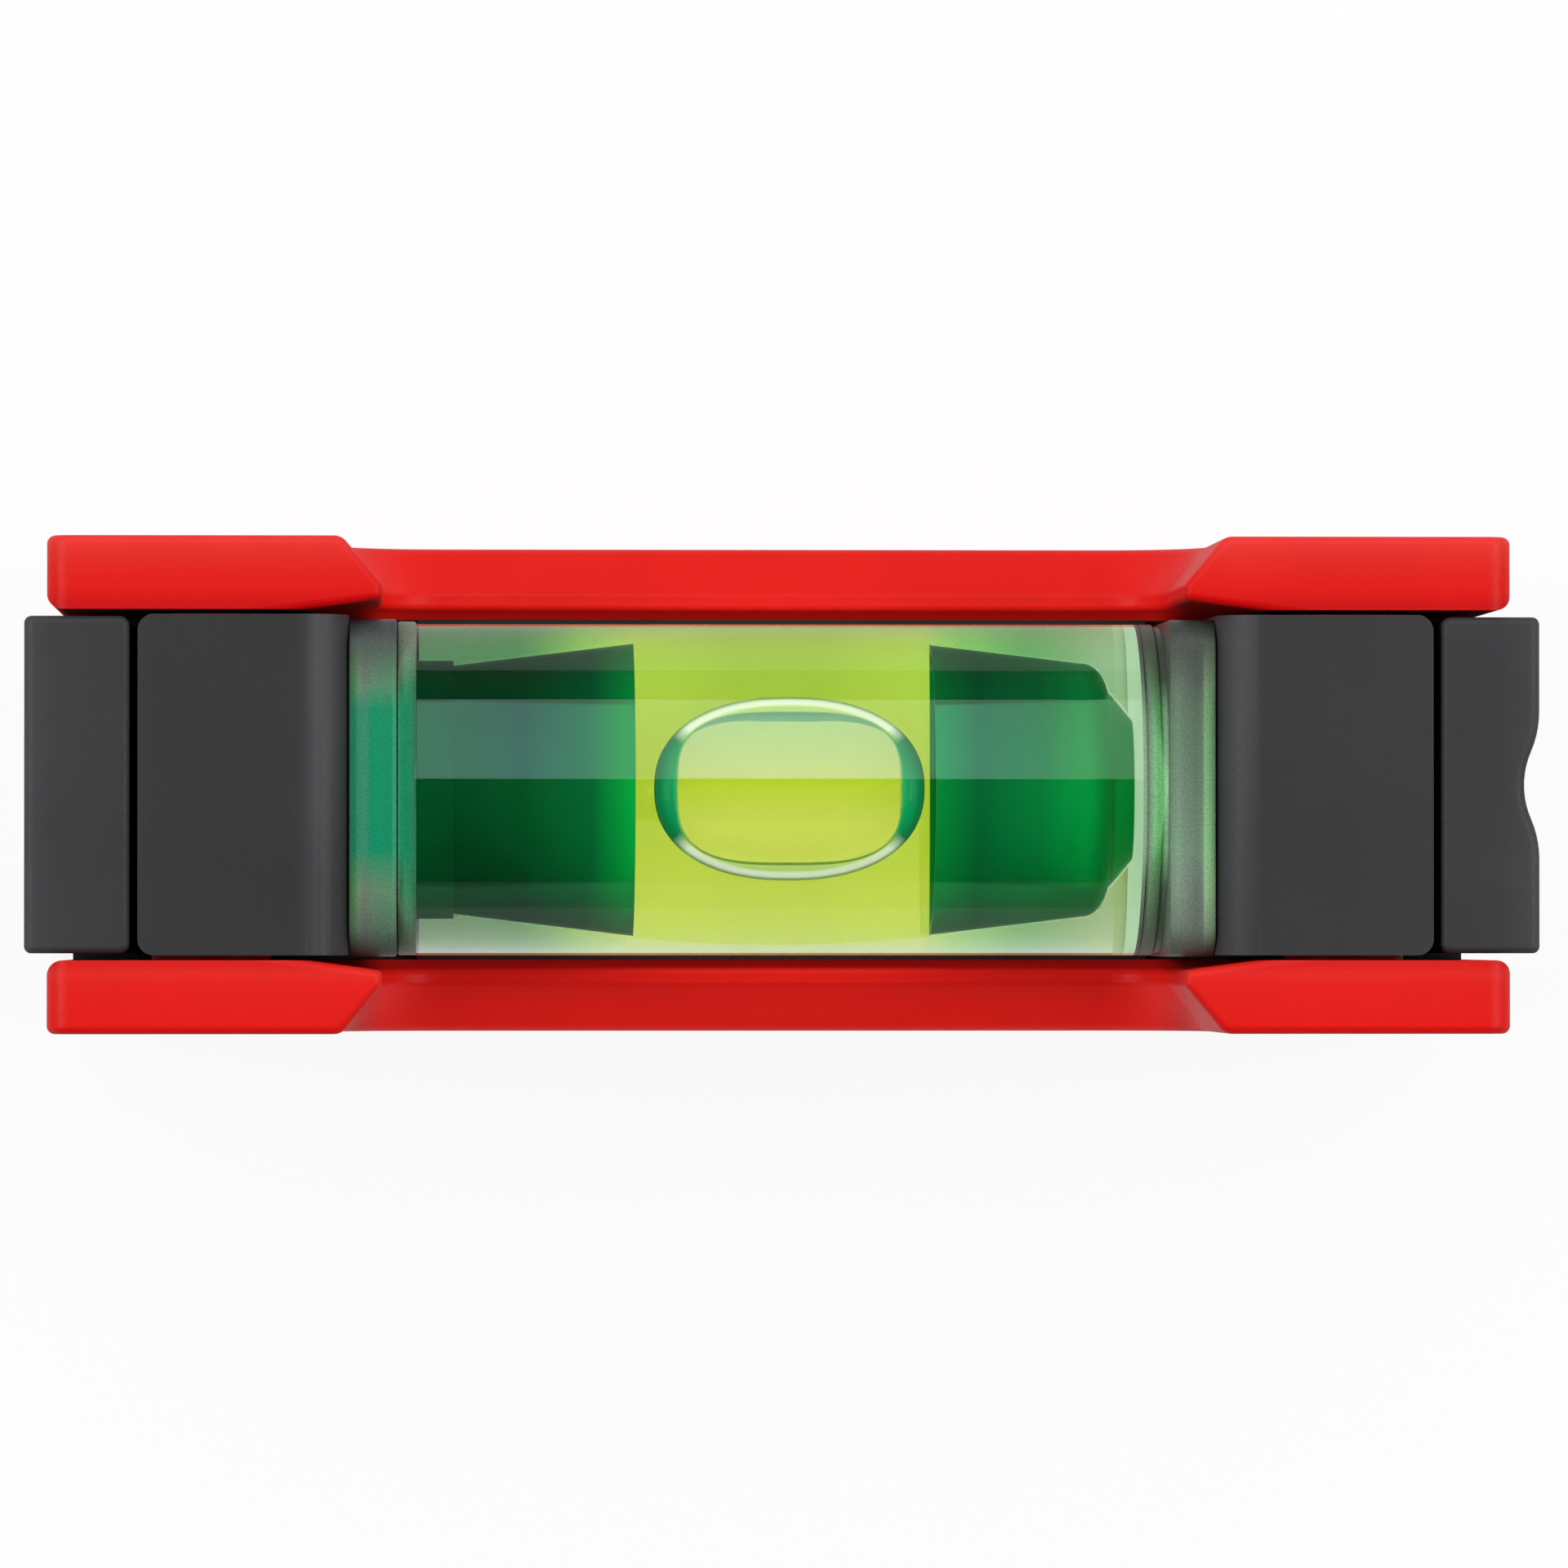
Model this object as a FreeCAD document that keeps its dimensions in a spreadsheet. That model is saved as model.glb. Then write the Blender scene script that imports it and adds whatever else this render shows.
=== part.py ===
import FreeCAD, Part
import Sketcher
import os

# Magnetic pocket spirit level. Millimetres, X along the length, Y across, Z up.
# The origin is the middle of the measuring face at the bottom.

doc = FreeCAD.newDocument("spirit_level")
sizes = doc.addObject("Spreadsheet::Sheet", "Sizes")

# Sizes that can be set one by one.
DRIVING = {
    "overall_length": 75.0,
    "overall_height": 36.0,
    "core_gap": 0.24,
    "cover_thickness": 3.65,
    "cover_lift": 0.6,
    "cover_corner": 1.2,
    "cover_edge": 0.4,
    "cover_end_round": 0.8,
    "left_overhang": 1.1,
    "right_overhang": 1.4,
    "window_reveal": 1.64,
    "sill_rise": 0.4,
    "window_corner": 3.0,
    "bevel_reach": 2.0,
    "relief_reach": 3.6,
    "relief_depth": 0.5,
    "lip_width": 0.75,
    "bevel_round": 0.8,
    "lip_round": 0.3,
    "left_end_length": 5.2,
    "right_end_length": 4.9,
    "end_inset": 0.1,
    "end_gap": 0.4,
    "end_corner_out": 0.35,
    "end_corner_in": 0.5,
    "end_brow": 0.5,
    "end_groove_width": 4.8,
    "end_groove_depth": 0.76,
    "end_groove_round": 5.0,
    "tenon_width": 6.0,
    "tenon_length": 2.4,
    "tenon_low": 4.5,
    "tenon_cover": 4.6,
    "tenon_clearance": 0.1,
    "block_corner": 0.8,
    "block_round": 2.0,
    "tongue_length": 5.0,
    "tongue_width": 8.0,
    "tongue_depth": 1.5,
    "peg_radius": 2.0,
    "peg_length": 3.2,
    "peg_clearance": 0.05,
    "boss_radius": 3.0,
    "low_peg_inset": 3.0,
    "groove_width": 7.4,
    "groove_floor": 3.0,
    "groove_depth": 2.2,
    "magnet_radius": 4.0,
    "magnet_height": 3.5,
    "magnet_clearance": 0.05,
    "magnet_inset": 6.5,
    "vial_inset": 16.0,
    "vial_drop": 9.6,
    "vial_radius": 8.3,
    "vial_play": 0.17,
    "flange_rise": 0.2,
    "flange_corner": 1.5,
    "flange_gap": 0.05,
    "stub_shoulder": 1.8,
    "stub_length": 3.4,
    "stub_floor": 1.3,
    "stub_clearance": 0.05,
    "plug_flange": 2.4,
    "plug_spigot": 0.8,
    "left_flange": 0.95,
    "right_flange": 2.3,
    "neck_length": 0.4,
    "neck_depth": 0.3,
    "counterbore_depth": 2.85,
    "counterbore_step": 0.165,
    "mark_spacing": 14.7,
    "barrel_middle": 5.26,
    "barrel_arc": 105.0,
    "bore_taper": 4.75,
    "end_wall": 4.05,
    "end_cone_length": 1.53,
    "end_cone_rise": 1.695,
    "end_round_length": 1.32,
    "bore_disc": 2.05,
    "bore_round": 2.0,
    "film": 0.03,
    "sleeve_wall": 0.3,
    "bubble_play": 1.5,
    "bubble_depth": 2.6,
    "bubble_side": 0.865,
    "bubble_flat": 0.5,
    "bubble_wall": 0.4,
    "bubble_crown": 0.5,
    "bubble_shift": 0.4,
    "bubble_skin": 0.2,
    "strip_gap": 0.25,
    "strip_thickness": 0.6,
    "strip_angle": 29.0,
    "strip_inset": 0.15,
}

# Sizes that follow from them.
DERIVED = {
    "half_length": "overall_length / 2",
    "cradle_half": "half_length - vial_inset",
    "cradle_span": "2 * cradle_half",
    "vial_axis": "overall_height - vial_drop",
    "flange_half": "vial_radius + flange_rise",
    "flange_flat": "flange_half - flange_corner",
    "stub_radius": "vial_radius - stub_shoulder",
    "cover_inner": "flange_half + vial_play",
    "core_half": "cover_inner - core_gap",
    "chassis_top": "vial_axis - stub_radius - stub_floor",
    "chassis_left": "half_length - left_end_length",
    "chassis_right": "half_length - right_end_length",
    "end_half": "core_half - end_inset",
    "left_block_out": "chassis_left - end_gap",
    "right_block_out": "chassis_right - end_gap",
    "block_height": "overall_height - chassis_top",
    "cover_left": "half_length - left_overhang",
    "cover_right": "half_length - right_overhang",
    "cover_left_flat": "cover_left - cover_end_round",
    "cover_right_flat": "cover_right - cover_end_round",
    "cover_round_y": "cover_inner + cover_end_round",
    "window_half": "cradle_half - window_reveal",
    "window_sill": "chassis_top + sill_rise",
    "bevel_depth": "cover_thickness - relief_depth - lip_width",
    "groove_half": "groove_width / 2",
    "groove_span": "2 * overall_length",
    "floor_half": "groove_floor / 2",
    "magnet_x": "cradle_half - magnet_inset",
    "magnet_seat": "groove_depth + magnet_height",
    "magnet_bore": "magnet_radius + magnet_clearance",
    "peg_bore": "peg_radius + peg_clearance",
    "peg_reach": "core_gap + peg_length",
    "peg_depth": "peg_length + peg_clearance",
    "low_peg_depth": "peg_reach + peg_clearance",
    "low_peg_x": "cradle_half + low_peg_inset",
    "low_peg_z": "chassis_top / 2",
    "tenon_half": "tenon_width / 2",
    "tenon_high": "chassis_top - tenon_cover",
    "mortise_half": "tenon_half + tenon_clearance",
    "mortise_low": "tenon_low - tenon_clearance",
    "mortise_high": "tenon_high + tenon_clearance",
    "mortise_depth": "tenon_length + tenon_clearance",
    "tongue_half": "tongue_width / 2",
    "slot_half": "tongue_half + tenon_clearance",
    "slot_depth": "tongue_depth + tenon_clearance",
    "stub_end": "cradle_half + stub_length",
    "socket_radius": "stub_radius + stub_clearance",
    "socket_depth": "stub_length + stub_clearance",
    "joint_x": "cradle_half - plug_flange",
    "body_start": "joint_x - left_flange",
    "spigot_end": "joint_x - plug_spigot",
    "right_flange_x": "cradle_half - right_flange",
    "right_neck_x": "right_flange_x - neck_length",
    "right_neck_radius": "vial_radius - neck_depth",
    "flange_seat": "vial_axis - flange_half - flange_gap",
    "seat_width": "3 * cover_inner",
    "left_seat_x": "body_start - flange_gap",
    "right_seat_x": "right_flange_x - flange_gap",
    "mark_half": "mark_spacing / 2",
    "counterbore_end": "joint_x - counterbore_depth",
    "bore_end": "cradle_half - end_wall",
    "cone_x": "bore_end - end_cone_length",
    "cone_radius": "bore_disc + end_cone_rise",
    "cone_slope": "atan(end_cone_rise / end_cone_length)",
    "barrel_end": "cone_x - end_round_length",
    "bore_at_mark": "barrel_middle - barrel_arc + sqrt(barrel_arc ^ 2 - mark_half ^ 2)",
    "bore_at_step": "bore_at_mark - (counterbore_end - mark_half) * tan(bore_taper)",
    "bore_at_end": "bore_at_mark - (barrel_end - mark_half) * tan(bore_taper)",
    "counterbore_radius": "bore_at_step + counterbore_step",
    "spigot_radius": "counterbore_radius - film",
    "sleeve_start": "spigot_end - film",
    "sleeve_shoulder": "counterbore_end + film",
    "lining_inset": "film + sleeve_wall",
    "fill_inset": "lining_inset + film",
    "fill_start": "sleeve_start - film",
    "fill_mark_x": "mark_half - film",
    "bubble_half_length": "mark_half - bubble_play / 2",
    "bubble_left": "bubble_shift - bubble_half_length",
    "bubble_right": "bubble_shift + bubble_half_length",
    "bubble_top": "barrel_middle - film - bubble_skin",
    "bubble_low": "bubble_top - bubble_depth",
    "bubble_half": "sqrt(bubble_top ^ 2 - (bubble_low + bubble_side) ^ 2)",
    "bubble_corner": "bubble_half - bubble_flat",
    "bubble_round": "bubble_depth - bubble_crown - bubble_wall",
    "bubble_clear": "2 * barrel_middle",
    "bubble_rise": "bubble_depth + bubble_skin",
    "strip_inner": "vial_radius + strip_gap",
    "strip_outer": "strip_inner + strip_thickness",
    "strip_half": "body_start - strip_inset",
    "strip_span": "2 * strip_half",
    "strip_out_y": "strip_outer * sin(strip_angle)",
    "strip_out_z": "strip_outer * cos(strip_angle)",
    "strip_in_y": "strip_inner * sin(strip_angle)",
    "strip_in_z": "strip_inner * cos(strip_angle)",
}


def fastening_sizes(side):
    # The tongue under a vial block, its slot and the peg of the covers beside it.
    block = side + "_block_out"
    middle = "(cradle_half + %s) / 2" % block
    return {
        side + "_tongue_inner": middle + " - tongue_length / 2",
        side + "_tongue_outer": middle + " + tongue_length / 2",
        side + "_slot_inner": side + "_tongue_inner - tenon_clearance",
        side + "_slot_outer": side + "_tongue_outer + tenon_clearance",
        side + "_peg_x": "(cradle_half + socket_depth + %s) / 2" % block,
    }


def bore_sizes(name, inset):
    # The bore's outline moved towards its axis by an inset.
    return {
        name + "_step": "bore_at_step - " + inset,
        name + "_mark": "bore_at_mark - " + inset,
        name + "_last": "bore_at_end - " + inset,
        name + "_round": "bore_round - " + inset,
        name + "_cone_x": "cone_x - %s * sin(cone_slope)" % inset,
        name + "_cone": "cone_radius - %s * cos(cone_slope)" % inset,
        name + "_disc": "bore_disc - %s * (1 - sin(cone_slope)) / cos(cone_slope)" % inset,
        name + "_end": "bore_end - " + inset,
    }


DERIVED.update(fastening_sizes("left"))
DERIVED.update(fastening_sizes("right"))
DERIVED.update(bore_sizes("wall", "0"))
DERIVED.update(bore_sizes("skin", "film"))
DERIVED.update(bore_sizes("lining", "lining_inset"))
DERIVED.update(bore_sizes("fill", "fill_inset"))


def fill_sheet():
    row = 1
    for name, number in DRIVING.items():
        sizes.set("A%d" % row, name)
        sizes.set("B%d" % row, str(number))
        sizes.setAlias("B%d" % row, name)
        row += 1
    for name, formula in DERIVED.items():
        sizes.set("A%d" % row, name)
        sizes.set("B%d" % row, "=" + formula)
        sizes.setAlias("B%d" % row, name)
        row += 1
    doc.recompute()


def number(name):
    # A name of the sheet with its sign, or "0".
    if name == "0":
        return 0.0
    if name.startswith("-"):
        return -float(sizes.get(name[1:]))
    return float(sizes.get(name))


def formula(name):
    if name.startswith("-"):
        return "-Sizes." + name[1:]
    return "Sizes." + name


def bind(feature, **values):
    for key, name in values.items():
        feature.setExpression(key, formula(name))


def new_body(name):
    body = doc.addObject("PartDesign::Body", name)
    body.Label = name
    return body


def new_sketch(body, name, role, offset=None):
    sketch = body.newObject("Sketcher::SketchObject", name)
    planes = [f for f in body.Origin.OriginFeatures if f.Role == role]
    sketch.AttachmentSupport = [(planes[0], "")]
    sketch.MapMode = "FlatFace"
    if offset:
        sketch.setExpression("AttachmentOffset.Base.z", formula(offset))
    doc.recompute()
    return sketch


def pin(sketch, index, end, x_name, y_name):
    # Fixes a point at named distances from the sketch's origin.
    for kind, name in (("DistanceX", x_name), ("DistanceY", y_name)):
        value = number(name)
        if name == "0":
            axis = -2 if kind == "DistanceX" else -1
            sketch.addConstraint(Sketcher.Constraint("PointOnObject", index, end, axis))
        else:
            place = sketch.addConstraint(Sketcher.Constraint(kind, -1, 1, index, end, value))
            sketch.setExpression("Constraints[%d]" % place, formula(name))


def arc_through(start, finish, radius, side):
    # A short arc between two points, bulging to the left (1) or right (-1) of the way between them.
    middle = (start + finish) / 2
    along = finish - start
    across = FreeCAD.Vector(-along.y, along.x, 0).normalize()
    rise = radius - (radius ** 2 - (along.Length / 2) ** 2) ** 0.5
    return Part.Arc(start, middle + across * (rise * side), finish)


def outline(sketch, corners):
    # Corners are (x, y) or (x, y, radius name, side): the arc is the edge that leaves the corner.
    points = [FreeCAD.Vector(number(c[0]), number(c[1]), 0) for c in corners]
    for here, corner in enumerate(corners):
        start = points[here]
        finish = points[(here + 1) % len(points)]
        if len(corner) == 4:
            sketch.addGeometry(arc_through(start, finish, number(corner[2]), corner[3]))
        else:
            sketch.addGeometry(Part.LineSegment(start, finish))
    ends = []
    for here, corner in enumerate(corners):
        # An arc is kept counter-clockwise, so one that bulges to the left starts at its far end.
        flipped = len(corner) == 4 and corner[3] == 1
        ends.append((2, 1) if flipped else (1, 2))
    for here, corner in enumerate(corners):
        after = (here + 1) % len(corners)
        sketch.addConstraint(
            Sketcher.Constraint("Coincident", here, ends[here][1], after, ends[after][0]))
        pin(sketch, here, ends[here][0], corner[0], corner[1])
        if len(corner) == 4:
            place = sketch.addConstraint(Sketcher.Constraint("Radius", here, number(corner[2])))
            sketch.setExpression("Constraints[%d]" % place, formula(corner[2]))
    doc.recompute()


def circle(sketch, x_name, y_name, radius_name):
    centre = FreeCAD.Vector(number(x_name), number(y_name), 0)
    index = sketch.addGeometry(Part.Circle(centre, FreeCAD.Vector(0, 0, 1), number(radius_name)))
    pin(sketch, index, 3, x_name, y_name)
    place = sketch.addConstraint(Sketcher.Constraint("Radius", index, number(radius_name)))
    sketch.setExpression("Constraints[%d]" % place, formula(radius_name))
    doc.recompute()


def cut_pipe_groove(body, name):
    section = new_sketch(body, name + "_groove_section", "YZ_Plane")
    outline(section, [
        ("-groove_half", "0"),
        ("groove_half", "0"),
        ("floor_half", "groove_depth"),
        ("-floor_half", "groove_depth"),
    ])
    add(body, "Pocket", name + "_pipe_groove", section, "groove_span", midplane=True)


def box_outline(sketch, left, low, right, high):
    outline(sketch, [(left, low), (right, low), (right, high), (left, high)])


def add(body, kind, name, sketch, length=None, reverse=False, midplane=False, through=False):
    feature = body.newObject("PartDesign::" + kind, name)
    feature.Profile = sketch
    feature.Reversed = reverse
    if midplane:
        feature.Midplane = True
    if through:
        feature.Type = "ThroughAll"
    if length:
        feature.setExpression("Length", formula(length))
    doc.recompute()
    return feature


def spin(body, kind, name, sketch):
    feature = body.newObject("PartDesign::" + kind, name)
    feature.Profile = sketch
    feature.ReferenceAxis = (sketch, ["H_Axis"])
    feature.Angle = 360.0
    doc.recompute()
    return feature


def edges_where(feature, test):
    names = []
    for place, edge in enumerate(feature.Shape.Edges):
        if test(edge):
            names.append("Edge%d" % (place + 1))
    return names


def round_off(body, name, base, test, radius):
    feature = body.newObject("PartDesign::Fillet", name)
    feature.Base = (base, edges_where(base, test))
    feature.setExpression("Radius", formula(radius))
    doc.recompute()
    return feature


def bevel(body, name, base, test, size, size_other):
    feature = body.newObject("PartDesign::Chamfer", name)
    feature.Base = (base, edges_where(base, test))
    feature.ChamferType = "Two distances"
    feature.setExpression("Size", formula(size))
    feature.setExpression("Size2", formula(size_other))
    doc.recompute()
    return feature


def same(one, two):
    return abs(one - two) < 0.001


def lengthwise(edge):
    return edge.BoundBox.YLength < 0.001


def beyond(edge, x):
    # Further out along the level than a plane at x, on the same side.
    return abs(edge.CenterOfMass.x) > abs(x) + 0.001


def lies_at(edge, axis, value):
    low = edge.BoundBox.getPoint(0)
    high = edge.BoundBox.getPoint(6)
    return same(getattr(low, axis), value) and same(getattr(high, axis), value)


def upright(edge):
    return edge.BoundBox.XLength < 0.001 and edge.BoundBox.YLength < 0.001


fill_sheet()


def make_chassis():
    body = new_body("chassis")
    plan = new_sketch(body, "chassis_plan", "XY_Plane")
    box_outline(plan, "-chassis_left", "-cover_inner", "chassis_right", "cover_inner")
    add(body, "Pad", "chassis_block", plan, "chassis_top")

    cradle = new_sketch(body, "cradle_round", "YZ_Plane")
    circle(cradle, "0", "vial_axis", "strip_outer")
    add(body, "Pocket", "cradle", cradle, "cradle_span", midplane=True)

    for side, low, high in (
            ("left", "-cradle_half", "-left_seat_x"), ("right", "right_seat_x", "cradle_half")):
        seat = new_sketch(body, side + "_flange_seat_outline", "XZ_Plane")
        box_outline(seat, low, "flange_seat", high, "vial_axis")
        add(body, "Pocket", side + "_flange_seat", seat, "seat_width", midplane=True)

    cut_pipe_groove(body, "chassis")

    seats = new_sketch(body, "magnet_circles", "XY_Plane")
    circle(seats, "-magnet_x", "0", "magnet_bore")
    circle(seats, "magnet_x", "0", "magnet_bore")
    add(body, "Pocket", "magnet_seats", seats, "magnet_seat", reverse=True)

    for side, offset, reverse in (("front", "cover_inner", False), ("rear", "-cover_inner", True)):
        pegs = new_sketch(body, side + "_peg_circles", "XZ_Plane", offset)
        circle(pegs, "-low_peg_x", "low_peg_z", "peg_bore")
        circle(pegs, "low_peg_x", "low_peg_z", "peg_bore")
        add(body, "Pocket", side + "_peg_sockets", pegs, "low_peg_depth", reverse)

    for side, offset, reverse in (("left", "-chassis_left", True), ("right", "chassis_right", False)):
        mortise = new_sketch(body, side + "_mortise_outline", "YZ_Plane", offset)
        box_outline(mortise, "-mortise_half", "mortise_low", "mortise_half", "mortise_high")
        add(body, "Pocket", side + "_mortise", mortise, "mortise_depth", reverse)

    slots = new_sketch(body, "slot_outlines", "XY_Plane", "chassis_top")
    box_outline(slots, "right_slot_inner", "-slot_half", "right_slot_outer", "slot_half")
    add(body, "Pocket", "right_slot", slots, "slot_depth")
    others = new_sketch(body, "left_slot_outline", "XY_Plane", "chassis_top")
    box_outline(others, "-left_slot_outer", "-slot_half", "-left_slot_inner", "slot_half")
    add(body, "Pocket", "left_slot", others, "slot_depth")
    return body


def make_end_block(side):
    name = side + "_end_block"
    body = new_body(name)
    plan = new_sketch(body, name + "_plan", "XY_Plane")
    if side == "left":
        box_outline(plan, "-half_length", "-end_half", "-chassis_left", "end_half")
        sign = -1
    else:
        box_outline(plan, "chassis_right", "-end_half", "half_length", "end_half")
        sign = 1
    tip = add(body, "Pad", name + "_bar", plan, "overall_height")
    outer = sign * number("half_length")
    inner = sign * number("chassis_" + side)
    if side == "right":
        tip = cut_end_groove(body, outer)
    top = number("overall_height")
    tip = round_off(
        body, name + "_inner_corners", tip,
        lambda e: upright(e) and lies_at(e, "x", inner),
        "end_corner_in")
    tip = round_off(
        body, name + "_brow", tip,
        lambda e: lies_at(e, "z", top) and beyond(e, (inner + outer) / 2) and not lengthwise(e),
        "end_brow")
    tip = round_off(
        body, name + "_outer_corners", tip,
        lambda e: upright(e) and lies_at(e, "x", outer) and same(abs(e.CenterOfMass.y), number("end_half")),
        "end_corner_out")
    wings = new_sketch(body, name + "_wing_plan", "XY_Plane")
    if side == "left":
        box_outline(wings, "-cover_left_flat", "-cover_inner", "-chassis_left", "cover_inner")
    else:
        box_outline(wings, "chassis_right", "-cover_inner", "cover_right_flat", "cover_inner")
    add(body, "Pad", name + "_wings", wings, "chassis_top")
    mark = "-" if sign < 0 else ""
    tenon = new_sketch(body, name + "_tenon_outline", "YZ_Plane", mark + "chassis_" + side)
    box_outline(tenon, "-tenon_half", "tenon_low", "tenon_half", "tenon_high")
    add(body, "Pad", name + "_tenon", tenon, "tenon_length", reverse=sign > 0)
    cut_pipe_groove(body, name)
    return body


def cut_end_groove(body, outer):
    # A shallow hollow down the middle of the end face, with soft shoulders.
    half = number("end_groove_width") / 2
    plan = new_sketch(body, "end_groove_plan", "XY_Plane")
    edge = FreeCAD.Vector(outer, 0, 0)
    low = edge + FreeCAD.Vector(0, -half, 0)
    high = edge + FreeCAD.Vector(0, half, 0)
    deep = edge - FreeCAD.Vector(number("end_groove_depth"), 0, 0)
    plan.addGeometry(Part.LineSegment(low, high))
    plan.addGeometry(Part.Arc(high, deep, low))
    plan.addConstraint(Sketcher.Constraint("Coincident", 0, 2, 1, 1))
    plan.addConstraint(Sketcher.Constraint("Coincident", 0, 1, 1, 2))
    plan.addConstraint(Sketcher.Constraint("Symmetric", 0, 1, 0, 2, -1))
    place = plan.addConstraint(Sketcher.Constraint("DistanceX", -1, 1, 0, 1, outer))
    plan.setExpression("Constraints[%d]" % place, "Sizes.half_length")
    place = plan.addConstraint(Sketcher.Constraint("DistanceY", 0, 1, 0, 2, 2 * half))
    plan.setExpression("Constraints[%d]" % place, "Sizes.end_groove_width")
    rise = number("end_groove_depth")
    place = plan.addConstraint(Sketcher.Constraint("Radius", 1, (half ** 2 + rise ** 2) / (2 * rise)))
    plan.setExpression(
        "Constraints[%d]" % place,
        "(Sizes.end_groove_width ^ 2 / 4 + Sizes.end_groove_depth ^ 2) / (2 * Sizes.end_groove_depth)")
    doc.recompute()
    cut = add(body, "Pocket", "end_groove", plan, "overall_height", reverse=True)
    return round_off(
        body, "end_groove_shoulders", cut,
        lambda e: upright(e) and same(abs(e.CenterOfMass.y), half),
        "end_groove_round")


def make_vial_block(side):
    name = side + "_vial_block"
    body = new_body(name)
    sign = -1 if side == "left" else 1
    mark = "-" if sign < 0 else ""
    plan = new_sketch(body, name + "_plan", "XY_Plane", "chassis_top")
    if sign < 0:
        box_outline(plan, "-left_block_out", "-core_half", "-cradle_half", "core_half")
    else:
        box_outline(plan, "cradle_half", "-core_half", "right_block_out", "core_half")
    tip = add(body, "Pad", name + "_solid", plan, "block_height")
    outer = sign * number(side + "_block_out")
    inner = sign * number("cradle_half")
    top = number("overall_height")
    tip = round_off(
        body, name + "_corners", tip,
        lambda e: upright(e) and lies_at(e, "x", outer),
        "block_corner")
    tip = round_off(
        body, name + "_brow", tip,
        lambda e: lies_at(e, "x", inner) and lies_at(e, "z", top),
        "block_round")
    socket = new_sketch(body, name + "_socket_round", "YZ_Plane", mark + "cradle_half")
    circle(socket, "0", "vial_axis", "socket_radius")
    add(body, "Pocket", name + "_socket", socket, "socket_depth", reverse=sign > 0)
    for face, offset, reverse in (("front", "core_half", False), ("rear", "-core_half", True)):
        pegs = new_sketch(body, name + "_" + face + "_peg_round", "XZ_Plane", offset)
        circle(pegs, mark + side + "_peg_x", "vial_axis", "peg_bore")
        add(body, "Pocket", name + "_" + face + "_peg_socket", pegs, "peg_depth", reverse)
    tongue = new_sketch(body, name + "_tongue_outline", "XY_Plane", "chassis_top")
    if sign < 0:
        box_outline(tongue, "-left_tongue_outer", "-tongue_half", "-left_tongue_inner", "tongue_half")
    else:
        box_outline(tongue, "right_tongue_inner", "-tongue_half", "right_tongue_outer", "tongue_half")
    add(body, "Pad", name + "_tongue", tongue, "tongue_depth", reverse=True)
    return body


def make_cover(side):
    name = side + "_cover"
    body = new_body(name)
    sign = -1 if side == "front" else 1
    offset = ("" if sign < 0 else "-") + "cover_inner"
    rear = sign > 0
    plate = new_sketch(body, name + "_outline", "XZ_Plane", offset)
    outline(plate, [
        ("-cover_left", "cover_lift"),
        ("cover_right", "cover_lift"),
        ("cover_right", "overall_height"),
        ("window_half", "overall_height"),
        ("window_half", "window_sill"),
        ("-window_half", "window_sill"),
        ("-window_half", "overall_height"),
        ("-cover_left", "overall_height"),
    ])
    tip = add(body, "Pad", name + "_plate", plate, "cover_thickness", reverse=rear)
    half = number("window_half")
    sill = number("window_sill")
    top = number("overall_height")
    inner = sign * number("cover_inner")
    outer = inner + sign * number("cover_thickness")

    def through_edge(edge):
        return edge.BoundBox.XLength < 0.001 and edge.BoundBox.ZLength < 0.001

    tip = round_off(
        body, name + "_window_corners", tip,
        lambda e: through_edge(e) and same(abs(e.CenterOfMass.x), half) and same(e.CenterOfMass.z, sill),
        "window_corner")
    tip = round_off(
        body, name + "_corners", tip,
        lambda e: through_edge(e) and abs(e.CenterOfMass.x) > half + 5.0,
        "cover_corner")

    def on_window(edge, face):
        if not lies_at(edge, "y", face):
            return False
        centre = edge.CenterOfMass
        return abs(centre.x) < half + 0.01 and centre.z < top - 0.5 and centre.z > sill - 0.01

    tip = bevel(
        body, name + "_bevel", tip, lambda e: on_window(e, outer), "bevel_depth", "bevel_reach")
    tip = bevel(
        body, name + "_relief", tip, lambda e: on_window(e, inner), "relief_depth", "relief_reach")
    wide = half + number("bevel_reach") + 0.01
    low = sill - number("bevel_reach") - 0.01

    def bevel_rim(edge):
        centre = edge.CenterOfMass
        return lies_at(edge, "y", outer) and abs(centre.x) < wide and low < centre.z < top - 0.5

    def lip_rim(edge):
        deep = lies_at(edge, "y", outer - sign * number("bevel_depth"))
        shallow = lies_at(edge, "y", inner + sign * number("relief_depth"))
        return (deep or shallow) and edge.CenterOfMass.z < top - 0.5

    def outer_rim(edge):
        return lies_at(edge, "y", outer) and not bevel_rim(edge)

    tip = round_off(body, name + "_bevel_round", tip, bevel_rim, "bevel_round")
    tip = round_off(body, name + "_lip_round", tip, lip_rim, "lip_round")
    tip = round_off(body, name + "_edge_round", tip, outer_rim, "cover_edge")
    round_inner_ends(body, name, "-" if sign < 0 else "")
    pegs = new_sketch(body, name + "_peg_circles", "XZ_Plane", offset)
    bosses = new_sketch(body, name + "_boss_circles", "XZ_Plane", offset)
    for sketch, radius in ((bosses, "boss_radius"), (pegs, "peg_radius")):
        circle(sketch, "-left_peg_x", "vial_axis", radius)
        circle(sketch, "right_peg_x", "vial_axis", radius)
    circle(pegs, "-low_peg_x", "low_peg_z", "peg_radius")
    circle(pegs, "low_peg_x", "low_peg_z", "peg_radius")
    add(body, "Pad", name + "_bosses", bosses, "core_gap", reverse=not rear)
    add(body, "Pad", name + "_pegs", pegs, "peg_reach", reverse=not rear)
    return body


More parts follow.
